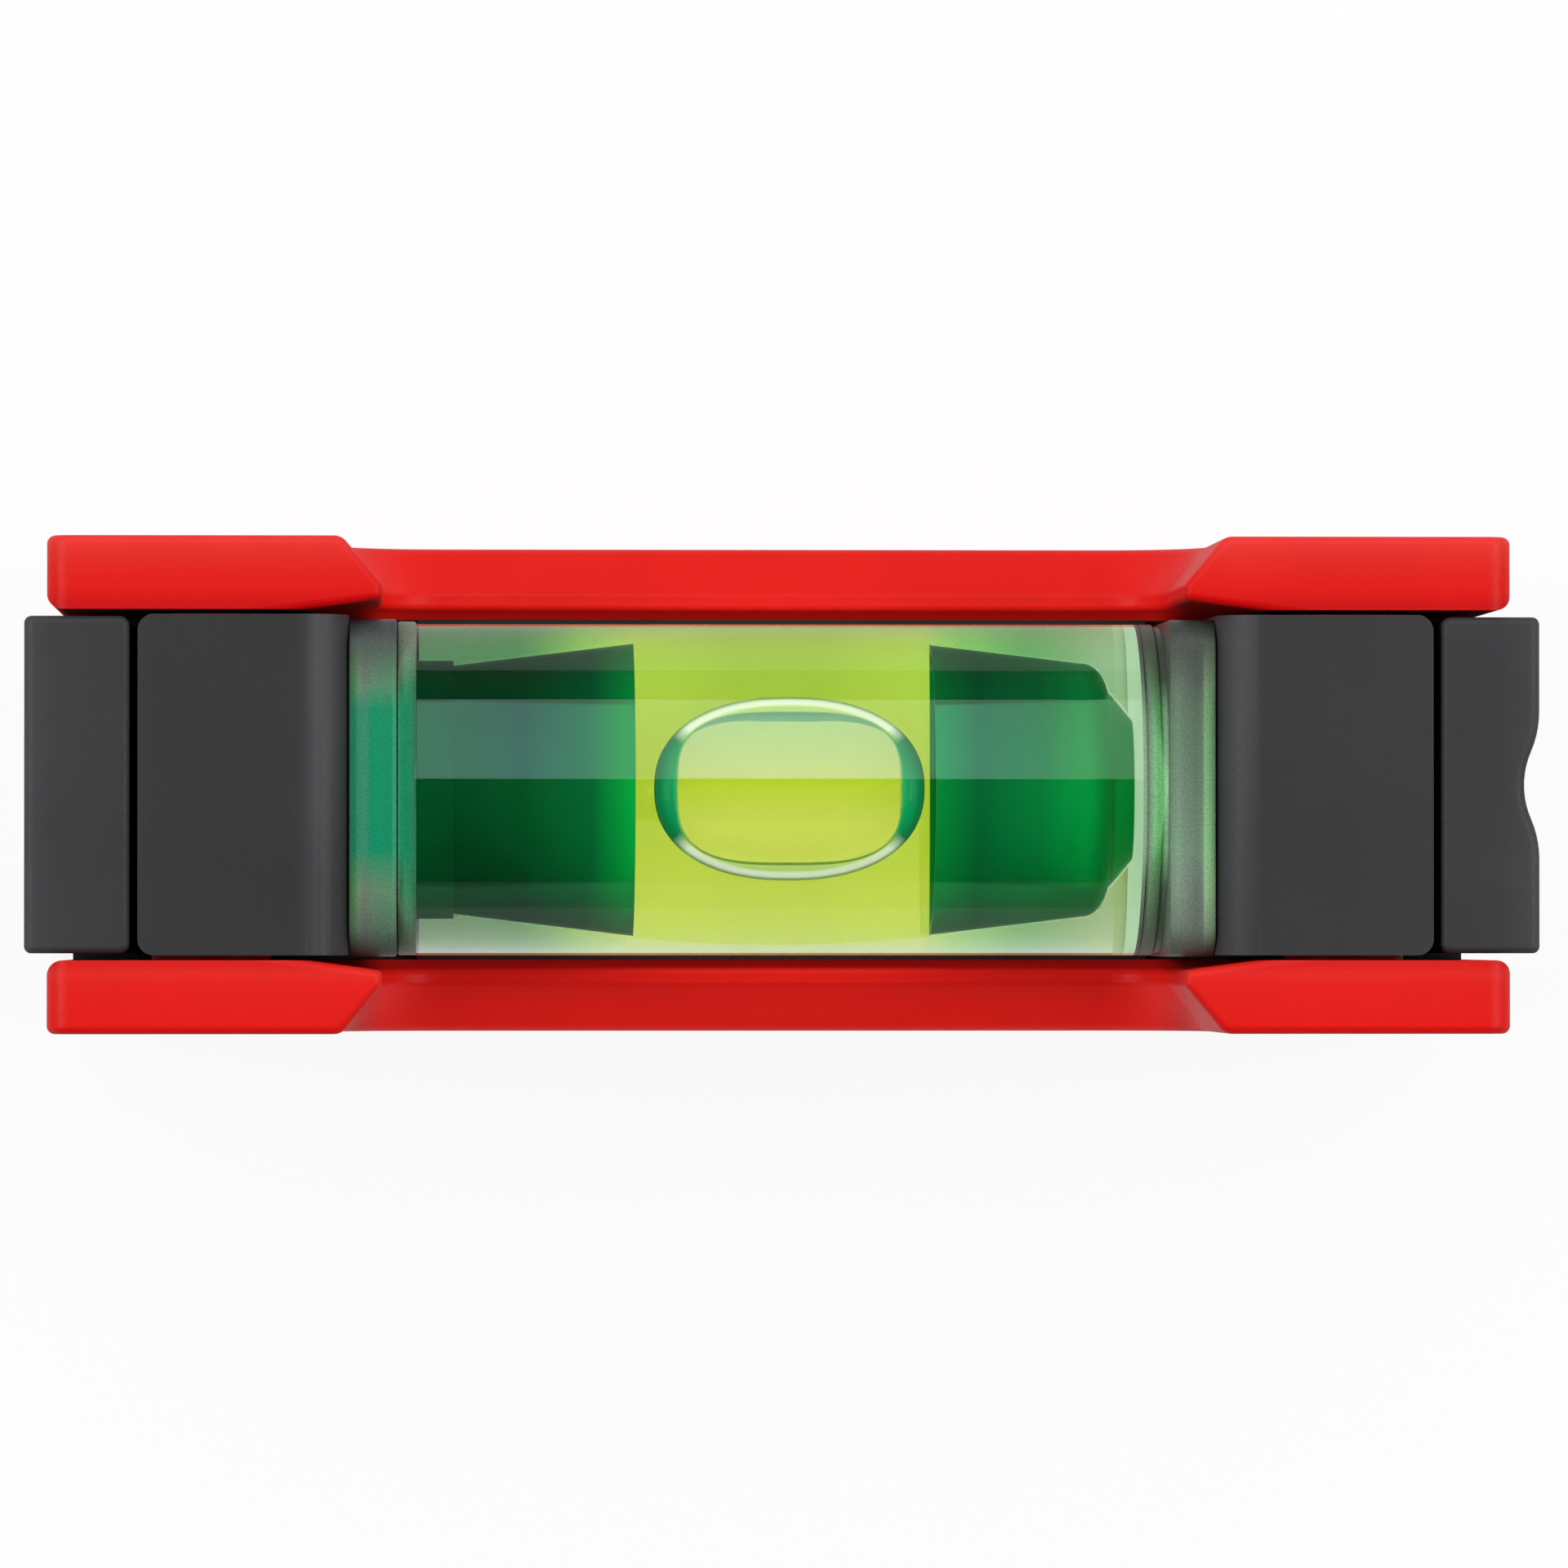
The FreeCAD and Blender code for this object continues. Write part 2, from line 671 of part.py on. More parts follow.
def round_inner_ends(body, name, mark):
    # Takes the corner off the inner side of a cover at each end, seen from above.
    near = mark + "cover_inner"
    far = mark + "cover_round_y"
    for side, start in (("left", "-"), ("right", "")):
        bulge = 1 if (mark == "-") == (side == "right") else -1
        corner = new_sketch(body, name + "_" + side + "_end_corner", "XY_Plane")
        outline(corner, [
            (start + "cover_" + side + "_flat", near, "cover_end_round", bulge),
            (start + "cover_" + side, far),
            (start + "cover_" + side, near),
        ])
        add(body, "Pocket", name + "_" + side + "_end_round", corner, "overall_height", reverse=True)


def on_vial_axis(body):
    body.setExpression("Placement.Base.z", "Sizes.vial_axis")


def square_flange(body, name, offset, length, hole=None):
    # A flange with flat sides and round corners, from an upright plane towards -X.
    section = new_sketch(body, name + "_section", "YZ_Plane", offset)
    outline(section, [
        ("-flange_flat", "-flange_half"),
        ("flange_flat", "-flange_half", "flange_corner", -1),
        ("flange_half", "-flange_flat"),
        ("flange_half", "flange_flat", "flange_corner", -1),
        ("flange_flat", "flange_half"),
        ("-flange_flat", "flange_half", "flange_corner", -1),
        ("-flange_half", "flange_flat"),
        ("-flange_half", "-flange_flat", "flange_corner", -1),
    ])
    if hole:
        circle(section, "0", "0", hole)
    return add(body, "Pad", name, section, length, reverse=True)


def closed_end(name):
    # The closed end of the bore, or of an outline inside it, from its middle out to the barrel.
    return [
        (name + "_end", "0"),
        (name + "_end", name + "_disc"),
        (name + "_cone_x", name + "_cone", name + "_round", -1),
    ]


def make_vial_body():
    body = new_body("vial_body")
    half = new_sketch(body, "vial_profile", "XZ_Plane")
    outline(half, [
        ("-joint_x", "counterbore_radius"),
        ("-joint_x", "vial_radius"),
        ("right_neck_x", "vial_radius"),
        ("right_neck_x", "right_neck_radius"),
        ("cradle_half", "right_neck_radius"),
        ("cradle_half", "stub_radius"),
        ("stub_end", "stub_radius"),
        ("stub_end", "0"),
    ] + closed_end("wall") + [
        ("barrel_end", "wall_last"),
        ("mark_half", "wall_mark", "barrel_arc", -1),
        ("-mark_half", "wall_mark"),
        ("-counterbore_end", "wall_step"),
        ("-counterbore_end", "counterbore_radius"),
    ])
    spin(body, "Revolution", "vial_turned", half)
    square_flange(body, "vial_left_flange", "-body_start", "left_flange", "counterbore_radius")
    square_flange(body, "vial_right_flange", "cradle_half", "right_flange")
    on_vial_axis(body)
    return body


def make_vial_plug():
    body = new_body("vial_plug")
    half = new_sketch(body, "plug_profile", "XZ_Plane")
    outline(half, [
        ("-stub_end", "0"),
        ("-stub_end", "stub_radius"),
        ("-joint_x", "stub_radius"),
        ("-joint_x", "spigot_radius"),
        ("-spigot_end", "spigot_radius"),
        ("-spigot_end", "0"),
    ])
    spin(body, "Revolution", "plug_turned", half)
    square_flange(body, "plug_flange_plate", "-joint_x", "plug_flange")
    on_vial_axis(body)
    return body


def make_left_sleeve():
    body = new_body("left_mark_sleeve")
    half = new_sketch(body, "left_sleeve_profile", "XZ_Plane")
    outline(half, [
        ("-sleeve_start", "lining_step"),
        ("-sleeve_start", "spigot_radius"),
        ("-sleeve_shoulder", "spigot_radius"),
        ("-sleeve_shoulder", "skin_step"),
        ("-mark_half", "skin_mark"),
        ("-mark_half", "lining_mark"),
        ("-sleeve_shoulder", "lining_step"),
    ])
    spin(body, "Revolution", "left_sleeve_turned", half)
    on_vial_axis(body)
    return body


def make_right_sleeve():
    body = new_body("right_mark_sleeve")
    half = new_sketch(body, "right_sleeve_profile", "XZ_Plane")
    outline(half, [
        ("mark_half", "lining_mark"),
        ("mark_half", "skin_mark"),
        ("barrel_end", "skin_last", "skin_round", 1),
        ("skin_cone_x", "skin_cone"),
        ("skin_end", "skin_disc"),
        ("skin_end", "0"),
    ] + closed_end("lining") + [
        ("barrel_end", "lining_last"),
    ])
    spin(body, "Revolution", "right_sleeve_turned", half)
    on_vial_axis(body)
    return body


def make_bubble():
    body = new_body("air_bubble")
    plan = new_sketch(body, "bubble_plan", "XY_Plane", "bubble_low")
    box_outline(plan, "bubble_left", "-bubble_half", "bubble_right", "bubble_half")
    blank = add(body, "Pad", "bubble_blank", plan, "bubble_rise")
    corners = round_off(body, "bubble_corners", blank, upright, "bubble_corner")
    low = number("bubble_low")
    belly = round_off(body, "bubble_belly", corners, lambda e: lies_at(e, "z", low), "bubble_round")
    roof = new_sketch(body, "bubble_roof_band", "XZ_Plane")
    outline(roof, [
        ("-counterbore_end", "bubble_top"),
        ("counterbore_end", "bubble_top"),
        ("counterbore_end", "bubble_clear"),
        ("-counterbore_end", "bubble_clear"),
    ])
    crown = spin(body, "Groove", "bubble_roof", roof)
    reach = number("bubble_top") - number("bubble_depth") / 2
    round_off(
        body, "bubble_crown_round", crown,
        lambda e: e.BoundBox.ZMax > reach and not upright(e) and e.Length > 0.5,
        "bubble_crown")
    on_vial_axis(body)
    return body


def make_liquid(bubble):
    turned = new_body("liquid_fill")
    half = new_sketch(turned, "liquid_profile", "XZ_Plane")
    outline(half, [
        ("-fill_start", "0"),
        ("-fill_start", "fill_step"),
        ("-sleeve_shoulder", "fill_step"),
        ("-mark_half", "fill_mark"),
        ("-fill_mark_x", "fill_mark"),
        ("-fill_mark_x", "skin_mark", "barrel_arc", 1),
        ("fill_mark_x", "skin_mark"),
        ("fill_mark_x", "fill_mark"),
        ("mark_half", "fill_mark"),
        ("barrel_end", "fill_last", "fill_round", 1),
        ("fill_cone_x", "fill_cone"),
        ("fill_end", "fill_disc"),
        ("fill_end", "0"),
    ])
    spin(turned, "Revolution", "liquid_turned", half)
    on_vial_axis(turned)
    liquid = doc.addObject("Part::Cut", "vial_liquid")
    liquid.Label = "vial_liquid"
    liquid.Base = turned
    liquid.Tool = bubble
    doc.recompute()
    return liquid


def make_strip():
    body = new_body("reflector_strip")
    section = new_sketch(body, "strip_section", "YZ_Plane")
    outline(section, [
        ("-strip_out_y", "-strip_out_z", "strip_outer", -1),
        ("strip_out_y", "-strip_out_z"),
        ("strip_in_y", "-strip_in_z", "strip_inner", 1),
        ("-strip_in_y", "-strip_in_z"),
    ])
    add(body, "Pad", "strip_curved", section, "strip_span", midplane=True)
    on_vial_axis(body)
    return body


def make_magnet(side):
    magnet = doc.addObject("Part::Cylinder", "magnet_" + side)
    magnet.Label = "magnet_" + side
    bind(magnet, Radius="magnet_radius", Height="magnet_height")
    magnet.setExpression("Placement.Base.x", formula(("-" if side == "left" else "") + "magnet_x"))
    magnet.setExpression("Placement.Base.z", "Sizes.groove_depth")
    doc.recompute()
    return magnet


def make_parts():
    bubble = make_bubble()
    return [
        make_chassis(),
        make_end_block("left"),
        make_end_block("right"),
        make_vial_block("left"),
        make_vial_block("right"),
        make_cover("front"),
        make_cover("rear"),
        make_vial_body(),
        make_vial_plug(),
        make_left_sleeve(),
        make_right_sleeve(),
        bubble,
        make_liquid(bubble),
        make_strip(),
        make_magnet("left"),
        make_magnet("right"),
    ]


def check_document():
    doc.recompute()
    for item in doc.Objects:
        if "Invalid" in item.State or "Error" in item.State:
            raise RuntimeError("not computed: " + item.Name)


def write(parts):
    os.makedirs("parts", exist_ok=True)
    for item in parts:
        shape = item.Shape
        if shape.isNull() or not shape.isValid():
            raise RuntimeError("bad shape: " + item.Label)
        shape.exportStep("parts/" + item.Label + ".step")
        print("%-20s solids %d volume %9.2f" % (item.Label, len(shape.Solids), shape.Volume))


parts = make_parts()
check_document()
write(parts)
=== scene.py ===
import math
import bpy
from mathutils import Matrix, Vector


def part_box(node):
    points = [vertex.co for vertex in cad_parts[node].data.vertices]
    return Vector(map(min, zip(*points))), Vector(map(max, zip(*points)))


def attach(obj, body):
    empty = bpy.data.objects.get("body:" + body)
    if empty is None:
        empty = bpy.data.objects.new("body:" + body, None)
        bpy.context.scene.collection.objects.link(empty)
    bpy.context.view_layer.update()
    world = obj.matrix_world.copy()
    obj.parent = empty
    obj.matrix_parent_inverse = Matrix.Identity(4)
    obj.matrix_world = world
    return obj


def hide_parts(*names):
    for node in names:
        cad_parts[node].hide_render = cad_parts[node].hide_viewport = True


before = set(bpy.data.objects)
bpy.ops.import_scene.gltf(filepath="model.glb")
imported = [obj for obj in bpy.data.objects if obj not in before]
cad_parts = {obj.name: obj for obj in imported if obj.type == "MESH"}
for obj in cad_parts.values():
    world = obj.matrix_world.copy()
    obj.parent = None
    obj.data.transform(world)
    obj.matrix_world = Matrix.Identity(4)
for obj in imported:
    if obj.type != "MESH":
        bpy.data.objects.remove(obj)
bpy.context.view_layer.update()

scene = bpy.context.scene
scene.view_settings.view_transform = "Standard"

# Millimetres, as in the model's source. The vial's pieces are turned about its own axis.
MM = 0.001
AXIS_Z = (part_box("vial_body")[0].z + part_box("vial_body")[1].z) / 2
SEGMENTS = 160
ON_AXIS = 1e-6
SHARP_ANGLE = math.radians(32)

# The vial's outside, from the plug in the left block to the stub in the right one
BLOCK_X = 21.5
STUB_R = 6.5
STUB_END = 24.9
FLANGE_HALF = 8.37
FLANGE_CORNER = 1.5
THIN_FLANGE_HALF = 8.3
THIN_FLANGE_CORNER = 3.0
FLANGE_SOFT = 0.12
JOINT_X = 19.1
JOINT_GAP = 0.02
BODY_START = 18.15
VIAL_R = 8.33
VIAL_SHIFT = -0.12
CLEAR_END = 17.9
COLLAR_X = 18.08
COLLAR_ROUND = 0.1
GROOVE_HALF = 0.05
GROOVE_DEPTH = 0.04
NECK_X = 18.8
NECK_R = 8.2
RIGHT_FLANGE_X = 19.2
OVERLAP = 0.1
FACE_GAP = 0.005

# The bore: a barrel between the marks, a slow cone beyond, a counterbore for the plug and a closed end
MARK_HALF = 7.35
LEFT_MARK = 7.25
RIGHT_MARK = 7.72
BARREL_MIDDLE = 5.26
BARREL_ARC = 105.0
BARREL_END = 15.3
BORE_TAPER = math.radians(4.75)
BORE_AT_MARK = BARREL_MIDDLE - BARREL_ARC + math.sqrt(BARREL_ARC ** 2 - MARK_HALF ** 2)
CONE_X = 16.6
CONE_R = 3.42
BORE_END = 17.75
BORE_DISC = 2.4
BORE_ROUND = 1.35
CONE_SLOPE = math.atan2(CONE_R - BORE_DISC, BORE_END - CONE_X)
COUNTERBORE_END = 16.25
COUNTERBORE_STEP = 0.165
COUNTERBORE_R = BORE_AT_MARK - (COUNTERBORE_END - MARK_HALF) * math.tan(BORE_TAPER) + COUNTERBORE_STEP
SPIGOT_END = 18.3
FILM = 0.03
SLEEVE_WALL = 0.3
MIDDLE_STEPS = 32

# The bubble: half sizes of its outline and of its clear middle, and the heights of its parts
BUBBLE_LENGTH = 6.74
BUBBLE_WIDTH = 3.74
BUBBLE_SQUARE = 2.3
BUBBLE_SHIFT = 0.42
BUBBLE_INNER_LENGTH = 5.66
BUBBLE_INNER_WIDTH = 3.24
BUBBLE_INNER_SQUARE = 3.2
BUBBLE_ROOF_R = 5.04
BUBBLE_FLOOR = 2.45
BUBBLE_SAG = 0.12
BUBBLE_CROWN = 0.36
BUBBLE_BELLY = 0.56
ROOF_STEPS = 8
CROWN_STEPS = 8
BELLY_STEPS = 12
FLOOR_STEPS = 6

# The bubble's skin: where its line starts, as a share of the clear middle, and how much each part covers
LINE_FRONT = 0.955
LINE_REAR = 0.87
LINE_CORNER = 0.975
LINE_SOFT = 1 / 60
LINE_COVER = 0.75
RIM_SOFT = 0.008
RIM_COVER = 0.93
CLEAR_COVER = 0.22
REAR_SOFT = 0.2


# Shapes

def bore(x, inset=0.0):
    # The bore's radius: a barrel between the marks and a slow cone beyond them.
    if abs(x) <= MARK_HALF:
        return BARREL_MIDDLE - BARREL_ARC + math.sqrt(BARREL_ARC ** 2 - x ** 2) - inset
    return BORE_AT_MARK - (abs(x) - MARK_HALF) * math.tan(BORE_TAPER) - inset


def barrel_run(first, last, inset, steps=24):
    run = []
    for step in range(steps + 1):
        x = first + (last - first) * step / steps
        run.append((x, bore(x, inset)))
    return run


def closed_end(inset, steps=10):
    # The closed end of the bore, from its flat disc over a cone and a round to the barrel.
    disc = BORE_DISC - inset * (1 - math.sin(CONE_SLOPE)) / math.cos(CONE_SLOPE)
    start = Vector((CONE_X - inset * math.sin(CONE_SLOPE), CONE_R - inset * math.cos(CONE_SLOPE)))
    finish = Vector((BARREL_END, bore(BARREL_END, inset)))
    radius = BORE_ROUND - inset
    half = (finish - start) / 2
    across = Vector((half.y, -half.x)).normalized()
    if across.x > 0:
        across = -across
    centre = (start + finish) / 2 + across * math.sqrt(radius ** 2 - half.length ** 2)
    first = math.atan2(start.y - centre.y, start.x - centre.x)
    last = math.atan2(finish.y - centre.y, finish.x - centre.x)
    run = [(BORE_END - inset, 0.0), (BORE_END - inset, disc)]
    for step in range(steps + 1):
        angle = first + (last - first) * step / steps
        run.append((centre.x + radius * math.cos(angle), centre.y + radius * math.sin(angle)))
    return run


def corner(before, point, after, radius, steps=4):
    # Points of a rounded corner of an outline.
    one = (Vector(before) - Vector(point)).normalized()
    two = (Vector(after) - Vector(point)).normalized()
    turn = one.angle(two)
    reach = radius / math.tan(turn / 2)
    centre = Vector(point) + (one + two).normalized() * (radius / math.sin(turn / 2))
    start = (Vector(point) + one * reach - centre).normalized()
    finish = (Vector(point) + two * reach - centre).normalized()
    return [tuple(centre + start.slerp(finish, step / steps) * radius) for step in range(steps + 1)]


def stacked(point_rings):
    # All points in one list, and each ring as places in that list.
    verts = []
    rings = []
    for points in point_rings:
        rings.append(list(range(len(verts), len(verts) + len(points))))
        verts += points
    return verts, rings


def ring_faces(here, there):
    # The faces between two rings, either of which may be a single point.
    around = max(len(here), len(there))
    faces = []
    for step in range(around):
        after = (step + 1) % around
        if len(here) == 1:
            faces.append((here[0], there[after], there[step]))
        elif len(there) == 1:
            faces.append((here[step], here[after], there[0]))
        else:
            faces.append((here[step], here[after], there[after], there[step]))
    return faces


def turned_ring(along, out):
    # Points around the vial's axis, or one point on it.
    if out < ON_AXIS:
        return [(along * MM, 0.0, AXIS_Z)]
    points = []
    for step in range(SEGMENTS):
        angle = 2 * math.pi * step / SEGMENTS
        points.append((along * MM, out * MM * math.sin(angle), AXIS_Z + out * MM * math.cos(angle)))
    return points


def turned(name, groups, node, slots):
    # groups: [(points, material slot)]: an outline of (along, out) in millimetres, swept about the axis.
    outline = [(*point, slot) for points, slot in groups for point in points]
    verts, rings = stacked([turned_ring(along, out) for along, out, slot in outline])
    faces = []
    face_slots = []
    closed = len(rings[0]) > 1
    for place in range(len(rings) if closed else len(rings) - 1):
        added = ring_faces(rings[place], rings[(place + 1) % len(rings)])
        faces += added
        face_slots += [outline[place][2]] * len(added)
    return new_piece(name, verts, faces, face_slots, node, slots)


def new_piece(name, verts, faces, face_slots, node, slots):
    mesh = bpy.data.meshes.new(name)
    mesh.from_pydata(verts, [], faces)
    mesh.validate()
    mesh.polygons.foreach_set("material_index", face_slots)
    mesh.polygons.foreach_set("use_smooth", [True] * len(faces))
    mesh.set_sharp_from_angle(angle=SHARP_ANGLE)
    piece = bpy.data.objects.new(name, mesh)
    scene.collection.objects.link(piece)
    for material in slots:
        mesh.materials.append(material)
    piece.location.y = VIAL_SHIFT * MM
    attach(piece, "root")
    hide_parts(node)
    return piece


def bubble_edge(angle):
    # The bubble's outline in plan, a squarish oval.
    c = math.cos(angle)
    s = math.sin(angle)
    x = BUBBLE_LENGTH * math.copysign(abs(c) ** (2 / BUBBLE_SQUARE), c)
    y = BUBBLE_WIDTH * math.copysign(abs(s) ** (2 / BUBBLE_SQUARE), s)
    return x, y


def bubble_roof(y):
    return math.sqrt(BUBBLE_ROOF_R ** 2 - y ** 2)


def bubble_point(part, share, angle):
    # A point of the bubble, by the share of the way through one of its parts and the angle in plan.
    x, y = bubble_edge(angle)
    reach = math.hypot(x, y)
    height = bubble_roof(y) - BUBBLE_FLOOR
    crown = BUBBLE_CROWN * height
    belly = BUBBLE_BELLY * height
    if part == "roof":
        scale = share * (1 - crown / reach)
        z = bubble_roof(y * scale)
    elif part == "crown":
        turn = math.pi / 2 * (1 - share)
        scale = 1 - crown * (1 - math.cos(turn)) / reach
        z = bubble_roof(y * scale) - crown * (1 - math.sin(turn))
    elif part == "belly":
        turn = math.pi / 2 * share
        scale = 1 - belly * (1 - math.cos(turn)) / reach
        z = BUBBLE_FLOOR + belly * (1 - math.sin(turn))
    else:
        scale = share * (1 - belly / reach)
        z = BUBBLE_FLOOR - BUBBLE_SAG * (1 - share ** 2)
    return (x * scale + BUBBLE_SHIFT) * MM, y * scale * MM, AXIS_Z + z * MM


def bubble_surface(around=128):
    # The bubble lies against the roof of the bore and has a flat floor.
    levels = [("roof", step / ROOF_STEPS) for step in range(1, ROOF_STEPS)]
    levels += [("crown", step / CROWN_STEPS) for step in range(CROWN_STEPS + 1)]
    levels += [("belly", step / BELLY_STEPS) for step in range(BELLY_STEPS + 1)]
    levels += [("floor", step / FLOOR_STEPS) for step in range(FLOOR_STEPS - 1, 0, -1)]
    angles = [2 * math.pi * (step + 0.5) / around for step in range(around)]
    point_rings = [[(BUBBLE_SHIFT * MM, 0.0, AXIS_Z + bubble_roof(0.0) * MM)]]
    for part, share in levels:
        point_rings.append([bubble_point(part, share, angle) for angle in angles])
    point_rings.append([(BUBBLE_SHIFT * MM, 0.0, AXIS_Z + (BUBBLE_FLOOR - BUBBLE_SAG) * MM)])
    verts, rings = stacked(point_rings)
    faces = []
    for here, there in zip(rings, rings[1:]):
        faces += [(face[0], *reversed(face[1:])) for face in ring_faces(here, there)]
    return verts, faces


# Materials

def new_material(name):
    material = bpy.data.materials.new(name)
    material.use_nodes = True
    tree = material.node_tree
    for node in list(tree.nodes):
        if node.type != "OUTPUT_MATERIAL":
            tree.nodes.remove(node)
    return material, tree, tree.nodes.new("ShaderNodeBsdfPrincipled"), tree.nodes["Material Output"]


def maths(tree, operation, one, two):
    node = tree.nodes.new("ShaderNodeMath")
    node.operation = operation
    for place, value in enumerate((one, two)):
        if isinstance(value, (int, float)):
            node.inputs[place].default_value = value
        else:
            tree.links.new(value, node.inputs[place])
    return node.outputs[0]


def ranged(tree, value, low, high, to_low, to_high):
    node = tree.nodes.new("ShaderNodeMapRange")
    node.inputs["From Min"].default_value = low
    node.inputs["From Max"].default_value = high
    node.inputs["To Min"].default_value = to_low
    node.inputs["To Max"].default_value = to_high
    tree.links.new(value, node.inputs["Value"])
    return node.outputs["Result"]


def mixed(tree, share, one, two, blend="MIX"):
    node = tree.nodes.new("ShaderNodeMix")
    node.data_type = "RGBA"
    node.blend_type = blend
    if isinstance(share, float):
        node.inputs[0].default_value = share
    else:
        tree.links.new(share, node.inputs[0])
    tree.links.new(one, node.inputs[6])
    tree.links.new(two, node.inputs[7])
    return node.outputs[2]


def plain_colour(tree, colour):
    node = tree.nodes.new("ShaderNodeRGB")
    node.outputs[0].default_value = (*colour, 1.0)
    return node.outputs[0]


def multiplied(tree, one, two):
    return mixed(tree, 1.0, one, two, "MULTIPLY")


def level(tree, value):
    return plain_colour(tree, (value,) * 3)


def blended(tree, share, one, two):
    node = tree.nodes.new("ShaderNodeMix")
    node.data_type = "RGBA"
    node.inputs[6].default_value = (*one, 1.0)
    node.inputs[7].default_value = (*two, 1.0)
    tree.links.new(share, node.inputs[0])
    return node.outputs[2]


def noise(tree, scale, detail=3.0, rough=0.55):
    place = tree.nodes.new("ShaderNodeTexCoord")
    texture = tree.nodes.new("ShaderNodeTexNoise")
    texture.inputs["Scale"].default_value = scale
    texture.inputs["Detail"].default_value = detail
    texture.inputs["Roughness"].default_value = rough
    tree.links.new(place.outputs["Object"], texture.inputs["Vector"])
    return texture.outputs["Fac"]


def spread(tree, texture, low, high):
    # Most of a noise texture lies between 0.3 and 0.7.
    return ranged(tree, texture, 0.3, 0.7, low, high)


def bumped(tree, shader, height, strength, distance):
    node = tree.nodes.new("ShaderNodeBump")
    node.inputs["Strength"].default_value = strength
    node.inputs["Distance"].default_value = distance
    tree.links.new(height, node.inputs["Height"])
    tree.links.new(node.outputs["Normal"], shader.inputs["Normal"])


def object_axes(tree):
    # The place on a piece, in metres along the level's axes.
    place = tree.nodes.new("ShaderNodeTexCoord")
    split = tree.nodes.new("ShaderNodeSeparateXYZ")
    tree.links.new(place.outputs["Object"], split.inputs[0])
    return split.outputs


def stepped(tree, share, stops):
    # A colour that changes with a share from 0 to 1: [(share, colour)].
    ramp = tree.nodes.new("ShaderNodeValToRGB")
    tree.links.new(share, ramp.inputs[0])
    elements = ramp.color_ramp.elements
    elements[0].position = stops[0][0]
    elements[0].color = (*stops[0][1], 1.0)
    elements[1].position = stops[-1][0]
    elements[1].color = (*stops[-1][1], 1.0)
    for where, colour in stops[1:-1]:
        element = elements.new(where)
        element.color = (*colour, 1.0)
    return ramp.outputs[0]


def along_axis(tree, axis, stops):
    # A colour that changes along an axis of the level: [(place in millimetres, colour)].
    first = stops[0][0]
    last = stops[-1][0]
    share = ranged(tree, object_axes(tree)[axis], first * MM, last * MM, 0.0, 1.0)
    return stepped(tree, share, [((place - first) / (last - first), colour) for place, colour in stops])


def levels_along(tree, axis, stops):
    # A grey level that changes along an axis of the level: [(place in millimetres, level)].
    return along_axis(tree, axis, [(place, (value,) * 3) for place, value in stops])


def toned(tree, plain, axis, tones):
    # The plain colour times tones along an axis, which may be above 1: [(place in millimetres, tone)].
    strongest = max(max(tone) for place, tone in tones)
    stops = [(place, tuple(part / strongest for part in tone)) for place, tone in tones]
    colour = multiplied(tree, plain, along_axis(tree, axis, stops))
    return multiplied(tree, colour, level(tree, strongest))


def on_screen(red, green, blue):
    # A colour as a screen shows it, 0 to 255, turned into a shader's own scale.
    linear = []
    for value in (red, green, blue):
        share = value / 255
        linear.append(share / 12.92 if share <= 0.04045 else ((share + 0.055) / 1.055) ** 2.4)
    return tuple(linear)


def on_screen_stops(stops):
    return [(place, on_screen(*colour)) for place, colour in stops]


def let_lamps_through(tree, shader, output):
    # Lamps reach what lies inside the clear pieces.
    path = tree.nodes.new("ShaderNodeLightPath")
    clear = tree.nodes.new("ShaderNodeBsdfTransparent")
    mix = tree.nodes.new("ShaderNodeMixShader")
    tree.links.new(path.outputs["Is Shadow Ray"], mix.inputs[0])
    tree.links.new(shader.outputs["BSDF"], mix.inputs[1])
    tree.links.new(clear.outputs["BSDF"], mix.inputs[2])
    tree.links.new(mix.outputs[0], output.inputs["Surface"])


def clear_plastic(name, colour, ior):
    material, tree, shader, output = new_material(name)
    shader.inputs["Base Color"].default_value = (*colour, 1.0)
    shader.inputs["Roughness"].default_value = 0.0
    shader.inputs["IOR"].default_value = ior
    shader.inputs["Transmission Weight"].default_value = 1.0
    shader.inputs["Specular IOR Level"].default_value = 0.5
    let_lamps_through(tree, shader, output)
    return material


def moulded_plastic(name, dark, light, rough_low, rough_high, grain, strength, specular):
    material, tree, shader, output = new_material(name)
    shader.inputs["Specular IOR Level"].default_value = specular
    cloud = noise(tree, 140.0, 4.0)
    fine = noise(tree, grain, 2.0)
    colour = blended(tree, spread(tree, cloud, 0.0, 1.0), dark, light)
    tree.links.new(colour, shader.inputs["Base Color"])
    tree.links.new(spread(tree, fine, rough_low, rough_high), shader.inputs["Roughness"])
    bumped(tree, shader, fine, strength, 0.00002)
    tree.links.new(shader.outputs["BSDF"], output.inputs["Surface"])
    return material


def metal(name):
    material, tree, shader, output = new_material(name)
    fine = noise(tree, 2200.0)
    shader.inputs["Metallic"].default_value = 1.0
    colour = blended(tree, fine, (0.55, 0.54, 0.51), (0.68, 0.67, 0.63))
    tree.links.new(colour, shader.inputs["Base Color"])
    tree.links.new(spread(tree, fine, 0.2, 0.36), shader.inputs["Roughness"])
    tree.links.new(shader.outputs["BSDF"], output.inputs["Surface"])
    return material


